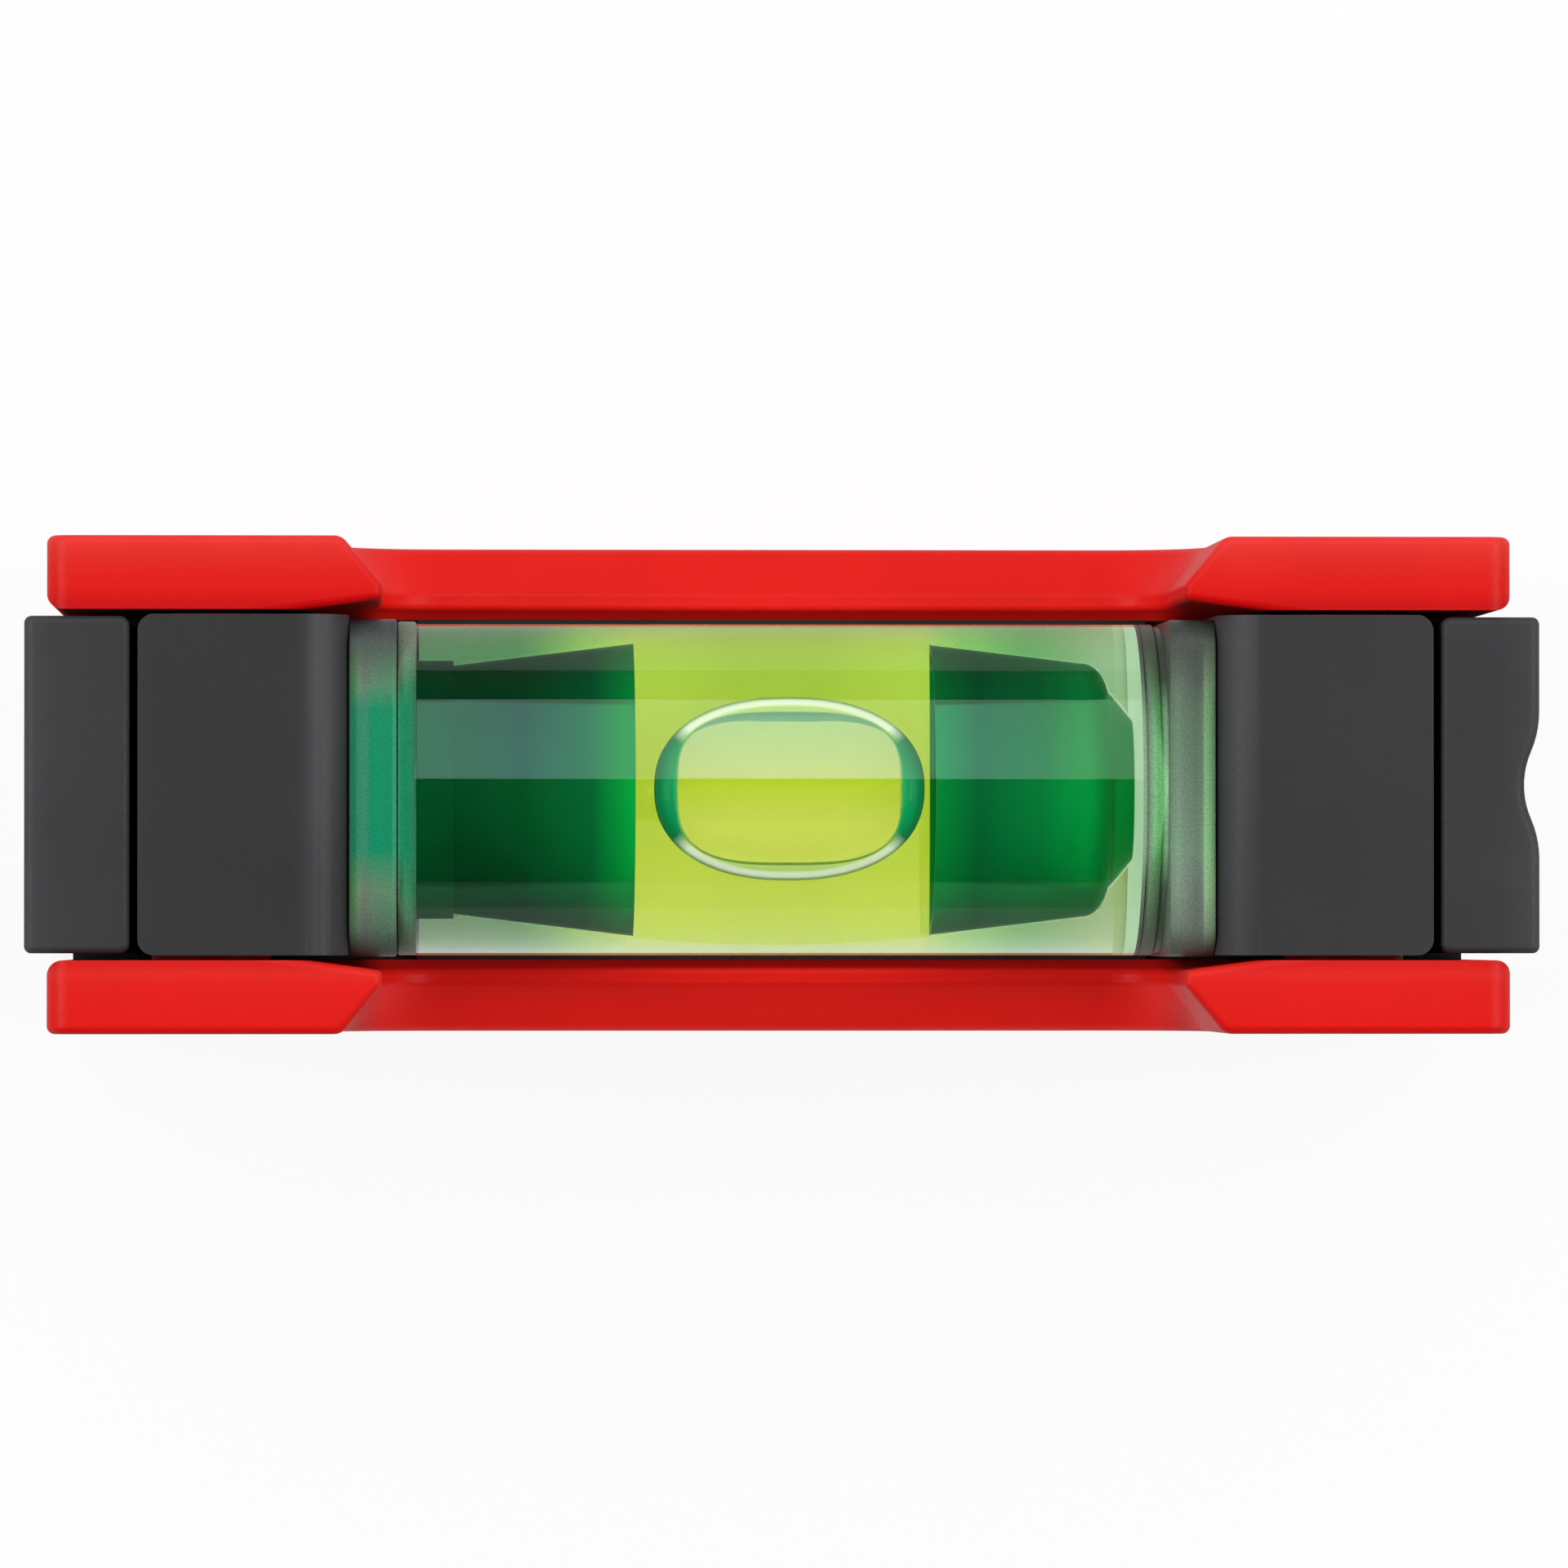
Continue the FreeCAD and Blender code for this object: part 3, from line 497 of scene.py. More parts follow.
def strip_colours():
    # Strip behind the vial: lime between the marks, green behind the sleeves, paler at the ends. Its
    # rear half is paler and bluer, a painted softbox reflection, and it has a faint painted glow.
    material, tree, shader, output = new_material("reflector_strip")
    colour = along_axis(tree, "X", [
        (-19.0, (0.24, 0.56, 0.26)),
        (-13.0, (0.17, 0.57, 0.18)),
        (-9.6, (0.41, 0.79, 0.13)),
        (-7.2, (0.61, 0.81, 0.13)),
        (7.4, (0.61, 0.81, 0.13)),
        (9.8, (0.30, 0.76, 0.16)),
        (13.0, (0.25, 0.73, 0.21)),
        (16.6, (0.57, 0.78, 0.47)),
    ])
    painted_reflection_tint = along_axis(tree, "Y", [
        (-2.9, (1.0, 0.86, 0.72)),
        (-2.0, (1.0, 0.83, 0.66)),
        (-1.0, (0.9, 0.81, 0.42)),
        (0.3, (0.9, 0.84, 0.5)),
        (0.9, (0.92, 0.88, 0.7)),
        (1.6, (0.93, 0.98, 1.0)),
        (2.9, (0.94, 1.0, 0.95)),
    ])
    colour = multiplied(tree, colour, painted_reflection_tint)
    tree.links.new(colour, shader.inputs["Base Color"])
    # Painted glow: the strip emits a little of its own colour, standing in for the light seen through
    # the vial.
    tree.links.new(colour, shader.inputs["Emission Color"])
    shader.inputs["Emission Strength"].default_value = 0.29
    fine = noise(tree, 4000.0)
    tree.links.new(spread(tree, fine, 0.4, 0.5), shader.inputs["Roughness"])
    bumped(tree, shader, fine, 0.2, 0.00001)
    tree.links.new(shader.outputs["BSDF"], output.inputs["Surface"])
    return material


def sleeve_green():
    # Deep green film with painted light: brighter at the marks and near the closed end, where light
    # comes through, bluer in a painted softbox reflection band, darker behind it and paler in front.
    material, tree, shader, output = new_material("sleeve_green")
    under = along_axis(tree, "X", [
        (-18.3, (0.001, 0.115, 0.028)),
        (-16.0, (0.001, 0.085, 0.02)),
        (-12.9, (0.001, 0.072, 0.016)),
        (-9.4, (0.001, 0.115, 0.026)),
        (-7.4, (0.001, 0.33, 0.042)),
        (7.6, (0.001, 0.21, 0.032)),
        (9.9, (0.001, 0.105, 0.025)),
        (13.0, (0.001, 0.175, 0.035)),
        (15.2, (0.001, 0.33, 0.055)),
        (16.3, (0.001, 0.27, 0.05)),
        (16.6, (0.001, 0.2, 0.04)),
        (16.8, (0.001, 0.33, 0.055)),
        (17.8, (0.001, 0.27, 0.05)),
    ])
    lit = along_axis(tree, "X", [
        (-18.3, (0.001, 0.22, 0.1)),
        (-12.9, (0.001, 0.1, 0.07)),
        (-9.7, (0.001, 0.155, 0.072)),
        (-7.8, (0.001, 0.28, 0.06)),
        (7.6, (0.001, 0.28, 0.095)),
        (9.9, (0.001, 0.15, 0.07)),
        (13.1, (0.001, 0.19, 0.06)),
        (15.2, (0.001, 0.34, 0.065)),
        (17.8, (0.001, 0.28, 0.07)),
    ])
    low = along_axis(tree, "X", [
        (-18.3, (0.001, 0.2, 0.06)),
        (-12.9, (0.001, 0.12, 0.04)),
        (-9.7, (0.001, 0.15, 0.04)),
        (-7.8, (0.001, 0.3, 0.05)),
        (7.6, (0.001, 0.27, 0.05)),
        (9.9, (0.001, 0.16, 0.04)),
        (13.1, (0.001, 0.25, 0.05)),
        (17.8, (0.001, 0.25, 0.05)),
    ])
    # Painted shade behind the reflection band, the painted reflection in the band, and paler painted
    # light in front.
    dimmed = multiplied(tree, under, plain_colour(tree, (0.6, 0.6, 0.75)))
    band = [(-5.0, 0.0), (0.4, 0.0), (0.48, 1.0), (3.46, 1.0), (3.54, 0.0), (5.0, 0.0)]
    in_reflection_band = levels_along(tree, "Y", band)
    above = levels_along(tree, "Y", [(-5.0, 0.0), (3.46, 0.0), (3.54, 1.0), (5.0, 1.0)])
    below = levels_along(tree, "Y", [(-5.0, 1.0), (-3.9, 1.0), (-3.8, 0.0), (5.0, 0.0)])
    colour = mixed(tree, in_reflection_band, under, lit)
    colour = mixed(tree, above, colour, dimmed)
    colour = mixed(tree, below, colour, low)
    tree.links.new(colour, shader.inputs["Base Color"])
    fine = noise(tree, 900.0)
    tree.links.new(spread(tree, fine, 0.3, 0.4), shader.inputs["Roughness"])
    shader.inputs["Specular IOR Level"].default_value = 0.02
    tree.links.new(shader.outputs["BSDF"], output.inputs["Surface"])
    return material


def paint_highlights_along_level(material):
    # Painted highlights on the dark mouldings: paler at their outer ends and along their brows, where
    # light catches the rounded edges.
    tree = material.node_tree
    base = tree.nodes["Principled BSDF"].inputs["Base Color"]
    tones = [
        (-37.5, 1.5),
        (-37.0, 1.1),
        (-36.0, 0.9),
        (-33.0, 0.8),
        (-31.0, 0.6),
        (-24.2, 0.6),
        (-23.6, 0.85),
        (-23.2, 1.6),
        (-22.6, 1.3),
        (-21.5, 0.8),
        (21.5, 0.9),
        (22.0, 1.35),
        (23.0, 1.25),
        (23.7, 0.68),
        (31.0, 0.76),
        (35.5, 0.82),
        (37.0, 1.1),
        (37.5, 1.5),
    ]
    tones = [(place, (value,) * 3) for place, value in tones]
    tree.links.new(toned(tree, base.links[0].from_socket, "X", tones), base)


def shade_tops(material):
    # Painted light on the tops of the red covers: paler towards the rear, where the softbox stands, and
    # deeper towards the front.
    tree = material.node_tree
    base = tree.nodes["Principled BSDF"].inputs["Base Color"]
    plain = base.links[0].from_socket
    tones = [
        (-12.3, (0.98, 0.5, 0.5)),
        (-11.3, (0.99, 0.7, 0.7)),
        (-9.9, (1.0, 1.0, 1.0)),
        (-9.3, (1.0, 1.8, 2.1)),
        (-8.9, (0.9, 1.0, 1.0)),
        (8.9, (0.75, 0.1, 0.1)),
        (9.2, (0.86, 0.2, 0.2)),
        (9.7, (0.95, 0.52, 0.48)),
        (10.5, (0.97, 1.05, 0.9)),
        (11.3, (0.99, 2.0, 1.9)),
        (11.95, (1.04, 3.2, 4.0)),
    ]
    high = levels_along(tree, "Z", [(0.0, 0.0), (33.5, 0.0), (35.0, 1.0), (36.0, 1.0)])
    tree.links.new(mixed(tree, high, plain, toned(tree, plain, "Y", tones)), base)


def glow_around_window(material):
    # Painted glow: emission in the red plastic around the window stands in for the light that falls
    # through it.
    tree = material.node_tree
    shader = tree.nodes["Principled BSDF"]
    height = [(0.0, 0.0), (13.0, 0.0), (17.0, 1.0), (22.0, 1.0), (29.0, 0.0), (36.0, 0.0)]
    high = levels_along(tree, "Z", height)
    across = along_axis(tree, "Y", [
        (-12.4, (0.17, 0.001, 0.0)),
        (-11.0, (0.19, 0.001, 0.0)),
        (-9.8, (0.14, 0.001, 0.001)),
        (-9.0, (0.15, 0.002, 0.002)),
        (-8.6, (0.24, 0.006, 0.005)),
        (8.6, (0.36, 0.008, 0.006)),
        (9.1, (0.16, 0.001, 0.001)),
        (9.8, (0.02, 0.0, 0.0)),
        (12.4, (0.0, 0.0, 0.0)),
    ])
    window = [(-37.5, 0.0), (-21.0, 0.0), (-19.6, 1.0), (19.6, 1.0), (21.0, 0.0), (37.5, 0.0)]
    glow = multiplied(tree, multiplied(tree, high, across), levels_along(tree, "X", window))
    tree.links.new(glow, shader.inputs["Emission Color"])
    shader.inputs["Emission Strength"].default_value = 1.0


def flange_plastic(name, middle, outer, rim, levels):
    # Matt clear plastic with painted light: the green of the bore seen through its middle, paler
    # outside, grey at its sides, times painted light levels across the level.
    material, tree, shader, output = new_material(name)
    middle_colour = along_axis(tree, "X", on_screen_stops(middle))
    outer_colour = along_axis(tree, "X", on_screen_stops(outer))
    outside = [(-8.0, 1.0), (-5.0, 1.0), (-3.1, 0.0), (3.9, 0.0), (5.4, 1.0), (8.0, 1.0)]
    sides = [(-8.5, 1.0), (-7.6, 0.75), (-5.2, 0.0), (5.0, 0.0), (7.4, 1.0), (8.5, 1.0)]
    colour = mixed(tree, levels_along(tree, "Y", outside), middle_colour, outer_colour)
    colour = mixed(tree, levels_along(tree, "Y", sides), colour, plain_colour(tree, on_screen(*rim)))
    colour = multiplied(tree, colour, levels_along(tree, "Y", levels))
    colour = multiplied(tree, colour, spread(tree, noise(tree, 9000.0, 2.0), 0.82, 1.18))
    tree.links.new(colour, shader.inputs["Base Color"])
    tree.links.new(spread(tree, noise(tree, 5000.0), 0.3, 0.45), shader.inputs["Roughness"])
    shader.inputs["Specular IOR Level"].default_value = 0.2
    tree.links.new(shader.outputs["BSDF"], output.inputs["Surface"])
    return material


def oval(tree, along, across, length, width, square):
    # 1 on the oval's edge, less inside it.
    one = maths(tree, "POWER", maths(tree, "DIVIDE", along, length * MM), square)
    two = maths(tree, "POWER", maths(tree, "DIVIDE", across, width * MM), square)
    return maths(tree, "POWER", maths(tree, "ADD", one, two), 1 / square)


def bubble_middle(tree):
    # What shows through the bubble: grey green behind, where the softbox lights it, and lime in front.
    return along_axis(tree, "Y", on_screen_stops([
        (-3.5, (184, 184, 104)),
        (-1.2, (178, 180, 92)),
        (0.38, (150, 170, 20)),
        (0.46, (180, 184, 160)),
        (2.6, (150, 176, 172)),
        (3.5, (130, 172, 172)),
    ]))


def bubble_rim(tree, outer, to_ends):
    # Painted reflections on the bubble's rim: pale arcs along its sides, mirroring the white
    # surroundings, and teal ends, mirroring the green sleeves.
    painted_pale_reflection = stepped(tree, outer, on_screen_stops([
        (0.0, (158, 182, 120)),
        (0.92, (160, 184, 116)),
        (0.942, (194, 210, 190)),
        (0.955, (208, 218, 218)),
        (0.98, (206, 216, 216)),
        (1.0, (100, 150, 76)),
    ]))
    painted_teal_reflection = stepped(tree, outer, on_screen_stops([
        (0.0, (40, 140, 100)),
        (0.84, (36, 138, 98)),
        (0.87, (6, 122, 80)),
        (0.93, (2, 114, 74)),
        (0.96, (3, 102, 64)),
        (1.0, (26, 104, 64)),
    ]))
    return mixed(tree, to_ends, painted_pale_reflection, painted_teal_reflection)


def bubble_line(tree, inner, rear, lean):
    # Share of the dark line around the clear middle: wide behind, fine in front and at the corners.
    to_corners = ranged(tree, lean, -0.6, 0.08, 0.0, 1.0)
    start = mixed(tree, rear, level(tree, LINE_FRONT), level(tree, LINE_REAR))
    start = mixed(tree, to_corners, start, level(tree, LINE_CORNER))
    return ranged(tree, maths(tree, "SUBTRACT", inner, start), 0.0, LINE_SOFT, 0.0, 1.0)


def bubble_skin():
    # Painted skin of the bubble: the light it bends and mirrors is painted on, clear in the middle, with
    # a dark line, pale arcs along its sides and teal ends, and a faint painted glow.
    material, tree, shader, output = new_material("bubble_skin")
    axes = object_axes(tree)
    along = maths(tree, "ABSOLUTE", maths(tree, "SUBTRACT", axes["X"], BUBBLE_SHIFT * MM), 0.0)
    across = maths(tree, "ABSOLUTE", axes["Y"], 0.0)
    outer = oval(tree, along, across, BUBBLE_LENGTH, BUBBLE_WIDTH, BUBBLE_SQUARE)
    inner = oval(tree, along, across, BUBBLE_INNER_LENGTH, BUBBLE_INNER_WIDTH, BUBBLE_INNER_SQUARE)
    along_share = maths(tree, "DIVIDE", along, BUBBLE_LENGTH * MM)
    across_share = maths(tree, "DIVIDE", across, BUBBLE_WIDTH * MM)
    lean = maths(tree, "SUBTRACT", along_share, across_share)
    to_ends = ranged(tree, lean, 0.06, 0.3, 0.0, 1.0)
    rear = ranged(tree, axes["Y"], -REAR_SOFT * MM, REAR_SOFT * MM, 0.0, 1.0)
    in_line = bubble_line(tree, inner, rear, lean)
    in_rim = ranged(tree, inner, 1 - RIM_SOFT, 1 + RIM_SOFT, 0.0, 1.0)
    front_line = plain_colour(tree, on_screen(16, 96, 30))
    line = mixed(tree, rear, front_line, plain_colour(tree, on_screen(70, 122, 112)))
    line = mixed(tree, to_ends, line, plain_colour(tree, on_screen(20, 130, 80)))
    colour = mixed(tree, in_line, bubble_middle(tree), line)
    colour = mixed(tree, in_rim, colour, bubble_rim(tree, outer, to_ends))
    tree.links.new(colour, shader.inputs["Base Color"])
    # Painted glow: the skin emits its painted colours.
    tree.links.new(colour, shader.inputs["Emission Color"])
    shader.inputs["Emission Strength"].default_value = 0.3
    shader.inputs["Roughness"].default_value = 0.15
    shader.inputs["Specular IOR Level"].default_value = 0.1
    line_cover = maths(tree, "MULTIPLY", in_line, LINE_COVER)
    rim_cover = maths(tree, "MULTIPLY", in_rim, RIM_COVER)
    cover = maths(tree, "MAXIMUM", maths(tree, "MAXIMUM", line_cover, rim_cover), CLEAR_COVER)
    tree.links.new(cover, shader.inputs["Alpha"])
    let_lamps_through(tree, shader, output)
    return material


def glowing_face():
    # The pale light that the clear body shows right before its collar.
    material, tree, shader, output = new_material("collar_face")
    glow = blended(tree, noise(tree, 1500.0), on_screen(158, 194, 152), on_screen(166, 200, 160))
    tree.links.new(glow, shader.inputs["Emission Color"])
    shader.inputs["Base Color"].default_value = (0.02, 0.03, 0.02, 1.0)
    shader.inputs["Emission Strength"].default_value = 1.0
    shader.inputs["Roughness"].default_value = 0.5
    tree.links.new(shader.outputs["BSDF"], output.inputs["Surface"])
    return material


red = moulded_plastic(
    "red_plastic", (0.76, 0.009, 0.006), (0.81, 0.011, 0.007), 0.4, 0.52, 5200.0, 0.25, 0.16)
# The chassis gets a darker copy of the dark plastic: painted shade for where it shows deep in the gaps.
core = moulded_plastic(
    "core_plastic", (0.014, 0.012, 0.011), (0.018, 0.015, 0.014), 0.5, 0.66, 6500.0, 0.5, 0.2)
dark = moulded_plastic(
    "dark_plastic", (0.0335, 0.033, 0.0345), (0.0405, 0.040, 0.0415), 0.5, 0.66, 6500.0, 0.5, 0.35)
acrylic = clear_plastic("clear_acrylic", (0.95, 1.0, 0.96), 1.49)
wetted = clear_plastic("wetted_bore", (1.0, 1.0, 1.0), 1.0)
filmed = clear_plastic("filmed_bore", (1.0, 1.0, 1.0), 1.01)
lime = clear_plastic("lime_liquid", (0.98, 1.0, 0.65), 1.0)
skin = bubble_skin()
EVEN = [(-8.5, 1.0), (8.5, 1.0)]
# Painted light on the right flange and collar: lighter in front, where light through the clear plastic
# gathers, and darker behind.
RIGHT_LIGHT_LEVELS = [
    (-8.5, 0.7),
    (-6.7, 0.92),
    (-4.6, 1.0),
    (-3.2, 1.0),
    (0.0, 0.82),
    (3.5, 0.66),
    (5.9, 0.52),
    (8.5, 0.45),
]
plug_flange = flange_plastic("plug_flange", [
    (-21.5, (10, 113, 76)),
    (-21.2, (6, 124, 82)),
    (-21.05, (44, 138, 102)),
    (-20.7, (52, 136, 103)),
    (-20.4, (14, 137, 97)),
    (-20.0, (4, 141, 97)),
    (-19.4, (14, 135, 92)),
    (-19.28, (38, 153, 110)),
    (-19.12, (30, 138, 96)),
], [
    (-21.5, (62, 104, 62)),
    (-21.2, (76, 130, 76)),
    (-21.02, (106, 140, 100)),
    (-20.7, (107, 118, 104)),
    (-20.4, (97, 131, 104)),
    (-19.5, (88, 136, 99)),
    (-19.28, (94, 140, 106)),
    (-19.12, (72, 110, 80)),
], (72, 78, 75), EVEN)
body_flange = flange_plastic("body_flange", [
    (-19.1, (22, 134, 92)),
    (-18.9, (10, 132, 86)),
    (-18.6, (10, 132, 85)),
    (-18.4, (32, 126, 86)),
    (-18.15, (24, 100, 68)),
], [
    (-19.1, (64, 104, 74)),
    (-18.92, (46, 97, 63)),
    (-18.7, (56, 132, 90)),
    (-18.4, (44, 122, 80)),
    (-18.15, (24, 92, 60)),
], (116, 126, 108), EVEN)
right_flange = flange_plastic("right_flange", [
    (19.2, (104, 140, 108)),
    (19.35, (118, 148, 120)),
    (19.6, (128, 160, 130)),
    (19.9, (118, 145, 119)),
    (20.56, (105, 130, 110)),
    (20.82, (112, 143, 110)),
    (20.94, (146, 190, 140)),
    (21.17, (124, 186, 124)),
    (21.5, (84, 124, 84)),
], [
    (19.2, (100, 122, 100)),
    (19.35, (122, 142, 122)),
    (19.6, (128, 148, 128)),
    (20.56, (100, 112, 103)),
    (20.82, (108, 126, 108)),
    (20.94, (150, 184, 142)),
    (21.17, (134, 176, 120)),
    (21.5, (108, 144, 100)),
], (100, 108, 98), RIGHT_LIGHT_LEVELS)
collar = flange_plastic("collar", [
    (17.9, (150, 184, 150)),
    (18.06, (146, 180, 144)),
    (18.1, (110, 140, 110)),
    (18.18, (118, 150, 118)),
    (18.26, (132, 166, 134)),
    (18.46, (134, 202, 140)),
    (18.72, (104, 188, 104)),
    (18.95, (146, 214, 152)),
    (19.1, (176, 224, 172)),
    (19.2, (130, 168, 130)),
], [
    (17.9, (146, 176, 144)),
    (18.06, (140, 168, 136)),
    (18.1, (80, 104, 78)),
    (18.18, (104, 134, 100)),
    (18.26, (150, 188, 148)),
    (18.46, (132, 178, 128)),
    (18.72, (108, 150, 106)),
    (18.95, (112, 140, 110)),
    (19.2, (104, 122, 102)),
], (104, 112, 92), RIGHT_LIGHT_LEVELS)
collar_face = glowing_face()
green = sleeve_green()
pale = strip_colours()
nickel = metal("nickel_plate")


# The model's own pieces

WELD_REACH = 0.000002
BEVEL_ANGLE = math.radians(40)
BEVEL_STEPS = 3


def dress(node, material, round_mm=0.0):
    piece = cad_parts[node]
    piece.data.materials.clear()
    piece.data.materials.append(material)
    if round_mm:
        weld = piece.modifiers.new("weld", "WELD")
        weld.merge_threshold = WELD_REACH
        edge = piece.modifiers.new("edge", "BEVEL")
        edge.width = round_mm * MM
        edge.segments = BEVEL_STEPS
        edge.limit_method = "ANGLE"
        edge.angle_limit = BEVEL_ANGLE
        edge.harden_normals = True
        edge.use_clamp_overlap = True
    return piece


paint_highlights_along_level(dark)
shade_tops(red)
glow_around_window(red)
for node in ("front_cover", "rear_cover"):
    dress(node, red)
for node in ("left_end_block", "right_end_block", "left_vial_block", "right_vial_block"):
    dress(node, dark, 0.12)
dress("chassis", core, 0.12)
dress("reflector_strip", pale)
dress("magnet_left", nickel, 0.15)
dress("magnet_right", nickel, 0.15)


# The vial

def make_vial():
    # The round body; its left end is hidden in the flanges, its right end is the collar's face.
    left_end = -BODY_START - OVERLAP
    outside = [(CLEAR_END, VIAL_R), (left_end, VIAL_R)]
    # Behind the sleeves the wall is seen against a thinner film than between the marks.
    left = [(left_end, COUNTERBORE_R), (-COUNTERBORE_END, COUNTERBORE_R)]
    left += barrel_run(-COUNTERBORE_END, -LEFT_MARK, 0.0)
    middle = barrel_run(-LEFT_MARK, RIGHT_MARK, 0.0, MIDDLE_STEPS)
    right = barrel_run(RIGHT_MARK, BARREL_END, 0.0)[:-1]
    right += list(reversed(closed_end(0.0)))
    face = [(CLEAR_END, 0.0)]
    groups = [(face, 3), (outside, 0), (left[:-1], 2), (middle[:-1], 1), (right, 2)]
    return turned("vial_clear", groups, "vial_body", [acrylic, wetted, filmed, collar_face])


def make_collar():
    # The step of the body before its right flange, with a fine groove where the clear part ends.
    start = CLEAR_END + FACE_GAP
    neck = (NECK_X + COLLAR_ROUND, NECK_R)
    finish = RIGHT_FLANGE_X + OVERLAP
    outline = [(start, 0.0), (start, VIAL_R), (COLLAR_X, VIAL_R)]
    outline += [(COLLAR_X + GROOVE_HALF, VIAL_R - GROOVE_DEPTH), (COLLAR_X + 2 * GROOVE_HALF, VIAL_R)]
    outline += corner((COLLAR_X, VIAL_R), (NECK_X, VIAL_R), neck, COLLAR_ROUND)
    outline += [neck, (finish, NECK_R), (finish, 0.0)]
    outline.reverse()
    return turned("vial_collar", [(outline, 0)], "vial_body", [collar])


def flange_outline(half, corner_r, inset, steps=8):
    # A square with round corners, in the plane across the level: [(y, z)].
    flat = half - corner_r
    radius = corner_r - inset
    points = []
    for quarter in range(4):
        turn = quarter * math.pi / 2
        centre = Matrix.Rotation(turn, 2) @ Vector((flat, flat))
        for step in range(steps + 1):
            angle = turn + math.pi / 2 * step / steps
            points.append((centre.x + radius * math.cos(angle), centre.y + radius * math.sin(angle)))
    return points


def make_flange(name, low, high, half, corner_r, node, material):
    # A plate across the level with softened edges.
    soft = FLANGE_SOFT
    sections = [(low, soft), (low + soft / 3, soft / 3), (low + soft, 0.0)]
    sections += [(high - soft, 0.0), (high - soft / 3, soft / 3), (high, soft)]
    point_rings = []
    for x, inset in sections:
        outline = flange_outline(half, corner_r, inset)
        point_rings.append([(x * MM, y * MM, AXIS_Z + z * MM) for y, z in outline])
    verts, rings = stacked(point_rings)
    faces = [tuple(reversed(rings[0])), tuple(rings[-1])]
    for here, there in zip(rings, rings[1:]):
        faces += ring_faces(here, there)
    return new_piece(name, verts, faces, [0] * len(faces), node, [material])


def make_bubble():
    verts, faces = bubble_surface()
    return new_piece("bubble", verts, faces, [0] * len(faces), "air_bubble", [skin])


def make_plug():
    # The stub that sits in the left block; the plug's other end is hidden in the body's flange.
    start = -JOINT_X - JOINT_GAP
    outline = [(start, 0.0), (start, STUB_R), (-STUB_END, STUB_R), (-STUB_END, 0.0)]
    return turned("plug_stub", [(outline, 0)], "vial_plug", [plug_flange])


def make_right_stub():
    start = BLOCK_X - OVERLAP
    outline = [(STUB_END, 0.0), (STUB_END, STUB_R), (start, STUB_R), (start, 0.0)]
    return turned("vial_stub", [(outline, 0)], "vial_body", [right_flange])


def make_left_sleeve():
    lining = FILM + SLEEVE_WALL
    start = -SPIGOT_END + FILM
    shoulder = -COUNTERBORE_END - FILM
    wide = COUNTERBORE_R - FILM
    outline = [(start, bore(shoulder, lining)), (start, wide), (shoulder, wide)]
    outline += barrel_run(shoulder, -LEFT_MARK, FILM)
    outline += barrel_run(-LEFT_MARK, shoulder, lining)
    outline.reverse()
    return turned("sleeve_left", [(outline, 0)], "left_mark_sleeve", [green])


def make_right_sleeve():
    lining = FILM + SLEEVE_WALL
    outer = closed_end(FILM) + barrel_run(BARREL_END, RIGHT_MARK, FILM)[1:]
    inner = barrel_run(RIGHT_MARK, BARREL_END, lining)[:-1] + list(reversed(closed_end(lining)))
    return turned("sleeve_right", [(outer + inner, 0)], "right_mark_sleeve", [green])


def make_liquid():
    fill = 2 * FILM + SLEEVE_WALL
    right = RIGHT_MARK - FILM
    left = -LEFT_MARK + FILM
    shoulder = -COUNTERBORE_END - FILM
    outline = closed_end(fill) + barrel_run(BARREL_END, RIGHT_MARK, fill)[1:]
    outline += [(right, bore(right, fill))]
    outline += barrel_run(right, left, FILM, MIDDLE_STEPS)
    outline += [(left, bore(left, fill))]
    outline += barrel_run(-LEFT_MARK, shoulder, fill)
    start = -SPIGOT_END + 2 * FILM
    outline += [(start, bore(shoulder, fill)), (start, 0.0)]
    return turned("liquid", [(outline, 0)], "vial_liquid", [lime])


make_vial()
make_right_stub()
make_collar()
make_flange(
    "flange_right", RIGHT_FLANGE_X, BLOCK_X, FLANGE_HALF, FLANGE_CORNER, "vial_body", right_flange)
make_flange(
    "flange_left", -JOINT_X, -BODY_START, THIN_FLANGE_HALF, THIN_FLANGE_CORNER, "vial_body", body_flange)
make_flange(
    "flange_plug", -BLOCK_X, -JOINT_X - JOINT_GAP, FLANGE_HALF, FLANGE_CORNER, "vial_plug", plug_flange)
make_plug()
make_left_sleeve()
make_right_sleeve()
make_liquid()
make_bubble()


# Stage, light and camera, in metres

FLOOR_HALF = 3.0
FLOOR_DROP = 0.0002
FLOOR_WHITE = 0.92
MIRRORED_FLOOR = 0.55
CEILING = 0.004
LAMP_AIM_Z = 0.03
SOFTBOX_TILT = math.radians(35.7)
SOFTBOX_REACH = 0.45
SOFTBOX_SIZE = (1.6, 0.5)
SOFTBOX_RADIANCE = 1.5
SOFTBOX_COLOUR = (0.99, 1.0, 1.04)
END_LAMP_X = 0.55
END_LAMP_Y = -0.02
END_LAMP_Z = 0.5
END_LAMP_SIZE = (0.3, 0.3)
END_LAMP_RADIANCE = 6.5
SENSOR_MM = 36.0
LENS_MM = 244.1
CAMERA_TARGET = Vector((0.0, 0.00004, 0.036))
CAMERA_OFFSET = Vector((-0.019, -0.0076, 0.525))


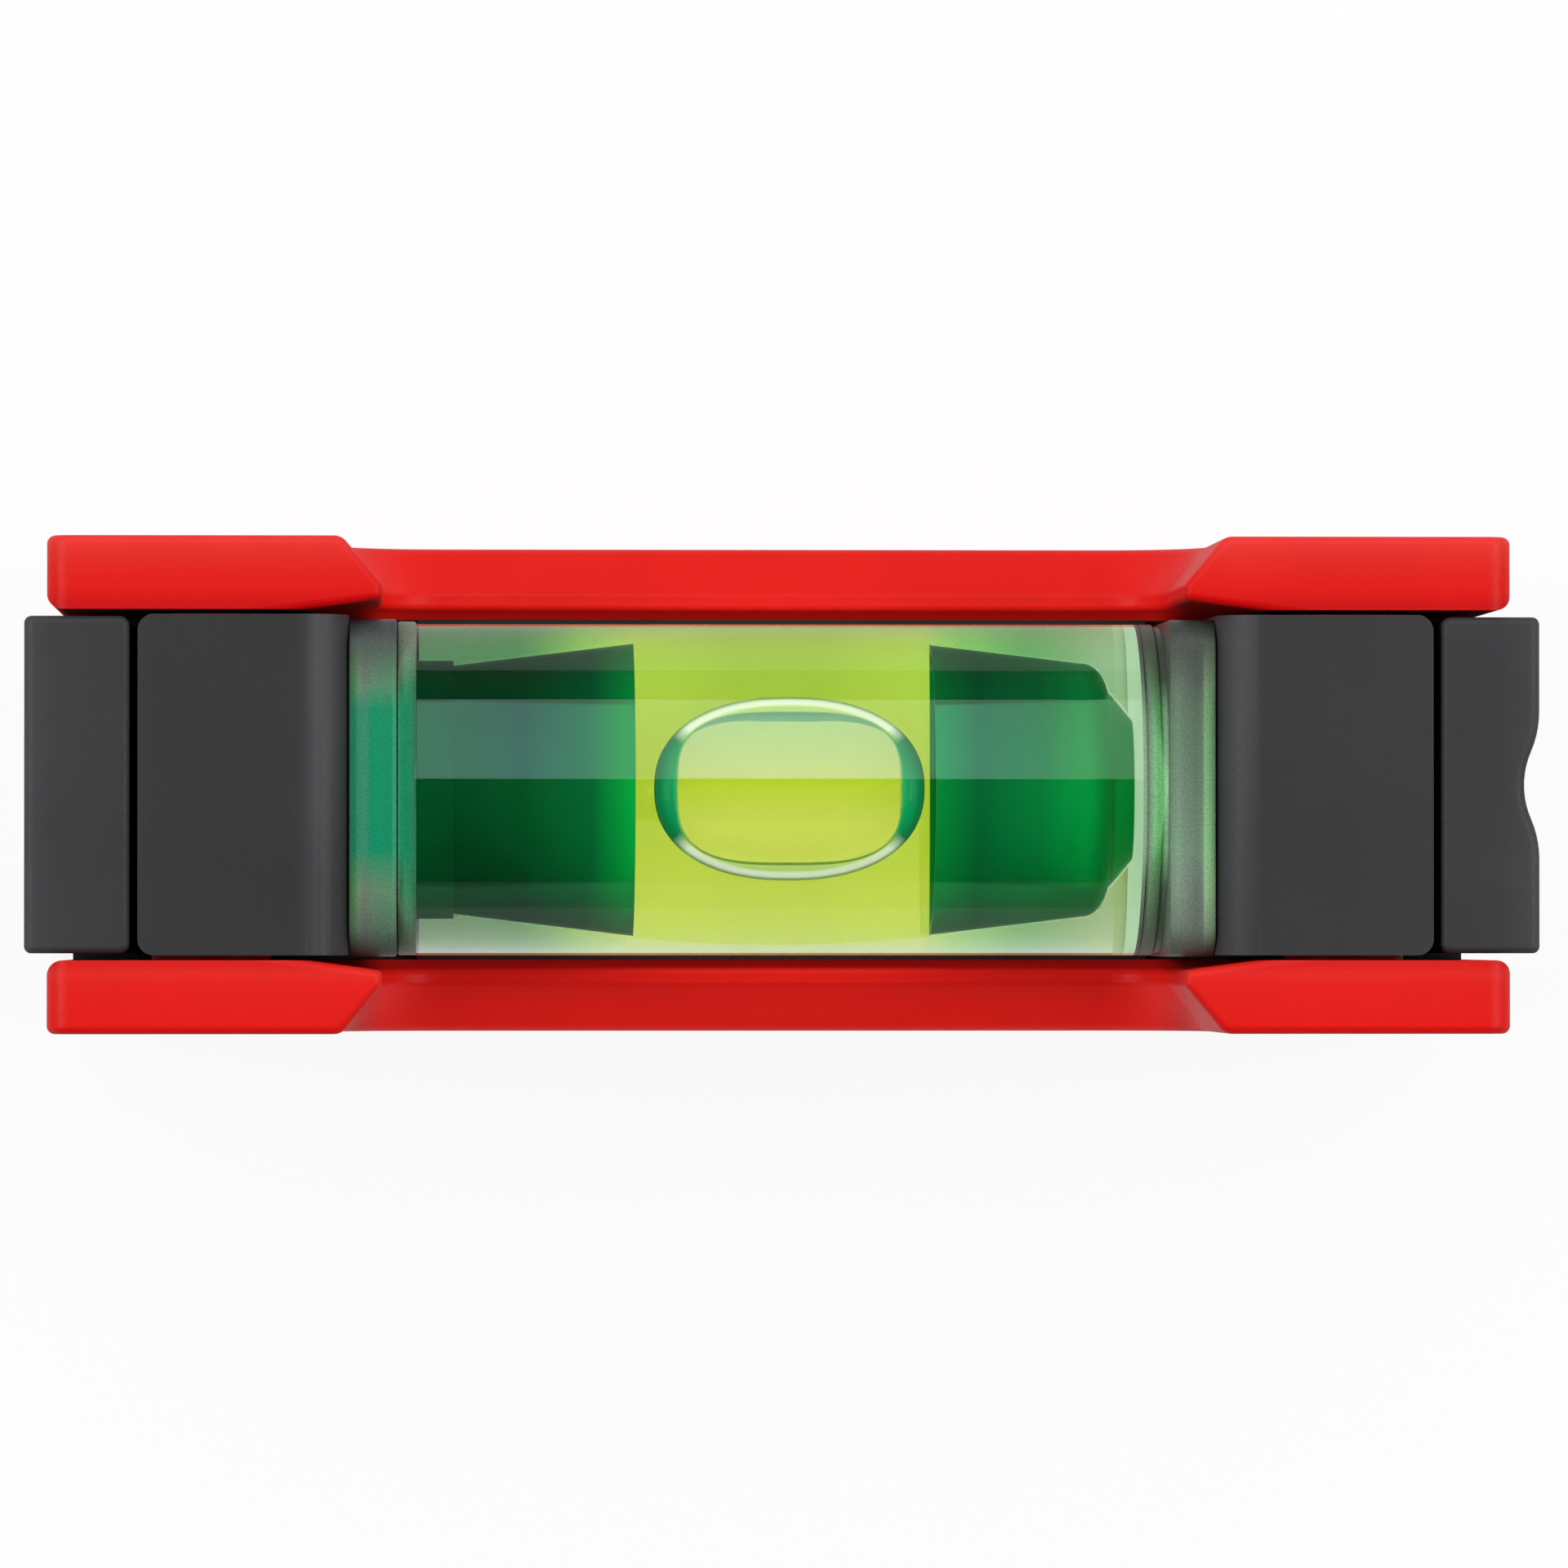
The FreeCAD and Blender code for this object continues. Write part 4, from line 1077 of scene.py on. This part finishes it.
def make_floor():
    # A pale floor that the camera sees as white, so that the level's shadow stays faint on it.
    half = FLOOR_HALF
    mesh = bpy.data.meshes.new("floor")
    corners = [(-half, -half, 0), (half, -half, 0), (half, half, 0), (-half, half, 0)]
    mesh.from_pydata(corners, [], [(0, 1, 2, 3)])
    floor = bpy.data.objects.new("floor", mesh)
    floor.location.z = -FLOOR_DROP
    scene.collection.objects.link(floor)
    material, tree, shader, output = new_material("floor_white")
    shader.inputs["Base Color"].default_value = (0.9, 0.9, 0.9, 1.0)
    shader.inputs["Roughness"].default_value = 0.9
    path = tree.nodes.new("ShaderNodeLightPath")
    seen = maths(tree, "MAXIMUM", path.outputs["Is Camera Ray"], path.outputs["Is Glossy Ray"])
    seen = maths(tree, "MAXIMUM", seen, path.outputs["Is Transmission Ray"])
    glow = tree.nodes.new("ShaderNodeEmission")
    strength = ranged(tree, path.outputs["Is Glossy Ray"], 0.0, 1.0, 1.0, MIRRORED_FLOOR)
    tree.links.new(strength, glow.inputs["Strength"])
    mix = tree.nodes.new("ShaderNodeMixShader")
    tree.links.new(maths(tree, "MULTIPLY", seen, FLOOR_WHITE), mix.inputs[0])
    tree.links.new(shader.outputs["BSDF"], mix.inputs[1])
    tree.links.new(glow.outputs[0], mix.inputs[2])
    tree.links.new(mix.outputs[0], output.inputs["Surface"])
    mesh.materials.append(material)


def make_world():
    # White for the camera; for the level a horizon, brighter in front, under a dim ceiling.
    world = bpy.data.worlds.new("studio")
    scene.world = world
    world.use_nodes = True
    tree = world.node_tree
    background = tree.nodes["Background"]
    place = tree.nodes.new("ShaderNodeTexCoord")
    split = tree.nodes.new("ShaderNodeSeparateXYZ")
    tree.links.new(place.outputs["Generated"], split.inputs[0])
    horizon = ranged(tree, split.outputs["Z"], 0.35, 0.39, 0.4, 0.0)
    front = ranged(tree, split.outputs["Y"], -0.3, 0.1, 0.6, 0.05)
    light = maths(tree, "ADD", maths(tree, "MULTIPLY", horizon, front), CEILING)
    path = tree.nodes.new("ShaderNodeLightPath")
    strength = tree.nodes.new("ShaderNodeMix")
    strength.data_type = "FLOAT"
    strength.inputs[3].default_value = 1.0
    tree.links.new(path.outputs["Is Camera Ray"], strength.inputs[0])
    tree.links.new(light, strength.inputs[2])
    tree.links.new(strength.outputs[0], background.inputs["Strength"])
    background.inputs["Color"].default_value = (1.0, 1.0, 1.0, 1.0)


def make_lamp(name, place, size, radiance):
    # A lamp that shines on the middle of the level.
    light = bpy.data.lights.new(name, "AREA")
    light.shape = "RECTANGLE"
    light.size, light.size_y = size
    light.energy = radiance * math.pi * size[0] * size[1]
    lamp = bpy.data.objects.new(name, light)
    scene.collection.objects.link(lamp)
    lamp.location = place
    aim = Vector((0.0, 0.0, LAMP_AIM_Z))
    lamp.rotation_euler = (aim - Vector(place)).to_track_quat("-Z", "Y").to_euler()
    return lamp


def make_lamps():
    # A long softbox behind the level shows as the band on the vial; two lamps stand off its ends.
    back = SOFTBOX_REACH * math.sin(SOFTBOX_TILT)
    rise = SOFTBOX_REACH * math.cos(SOFTBOX_TILT)
    box = make_lamp("softbox", (0.0, back, LAMP_AIM_Z + rise), SOFTBOX_SIZE, SOFTBOX_RADIANCE)
    box.data.color = SOFTBOX_COLOUR
    for name, x in (("left_lamp", -END_LAMP_X), ("right_lamp", END_LAMP_X)):
        make_lamp(name, (x, END_LAMP_Y, END_LAMP_Z), END_LAMP_SIZE, END_LAMP_RADIANCE)


def make_camera():
    data = bpy.data.cameras.new("camera")
    data.sensor_width = SENSOR_MM
    data.lens = LENS_MM
    data.clip_start = 0.01
    camera = bpy.data.objects.new("camera", data)
    scene.collection.objects.link(camera)
    camera.location = CAMERA_TARGET + CAMERA_OFFSET
    back = CAMERA_OFFSET.normalized()
    right = Vector((0.0, 1.0, 0.0)).cross(back).normalized()
    up = back.cross(right)
    camera.rotation_euler = Matrix((right, up, back)).transposed().to_euler()
    scene.camera = camera


make_floor()
make_world()
make_lamps()
make_camera()
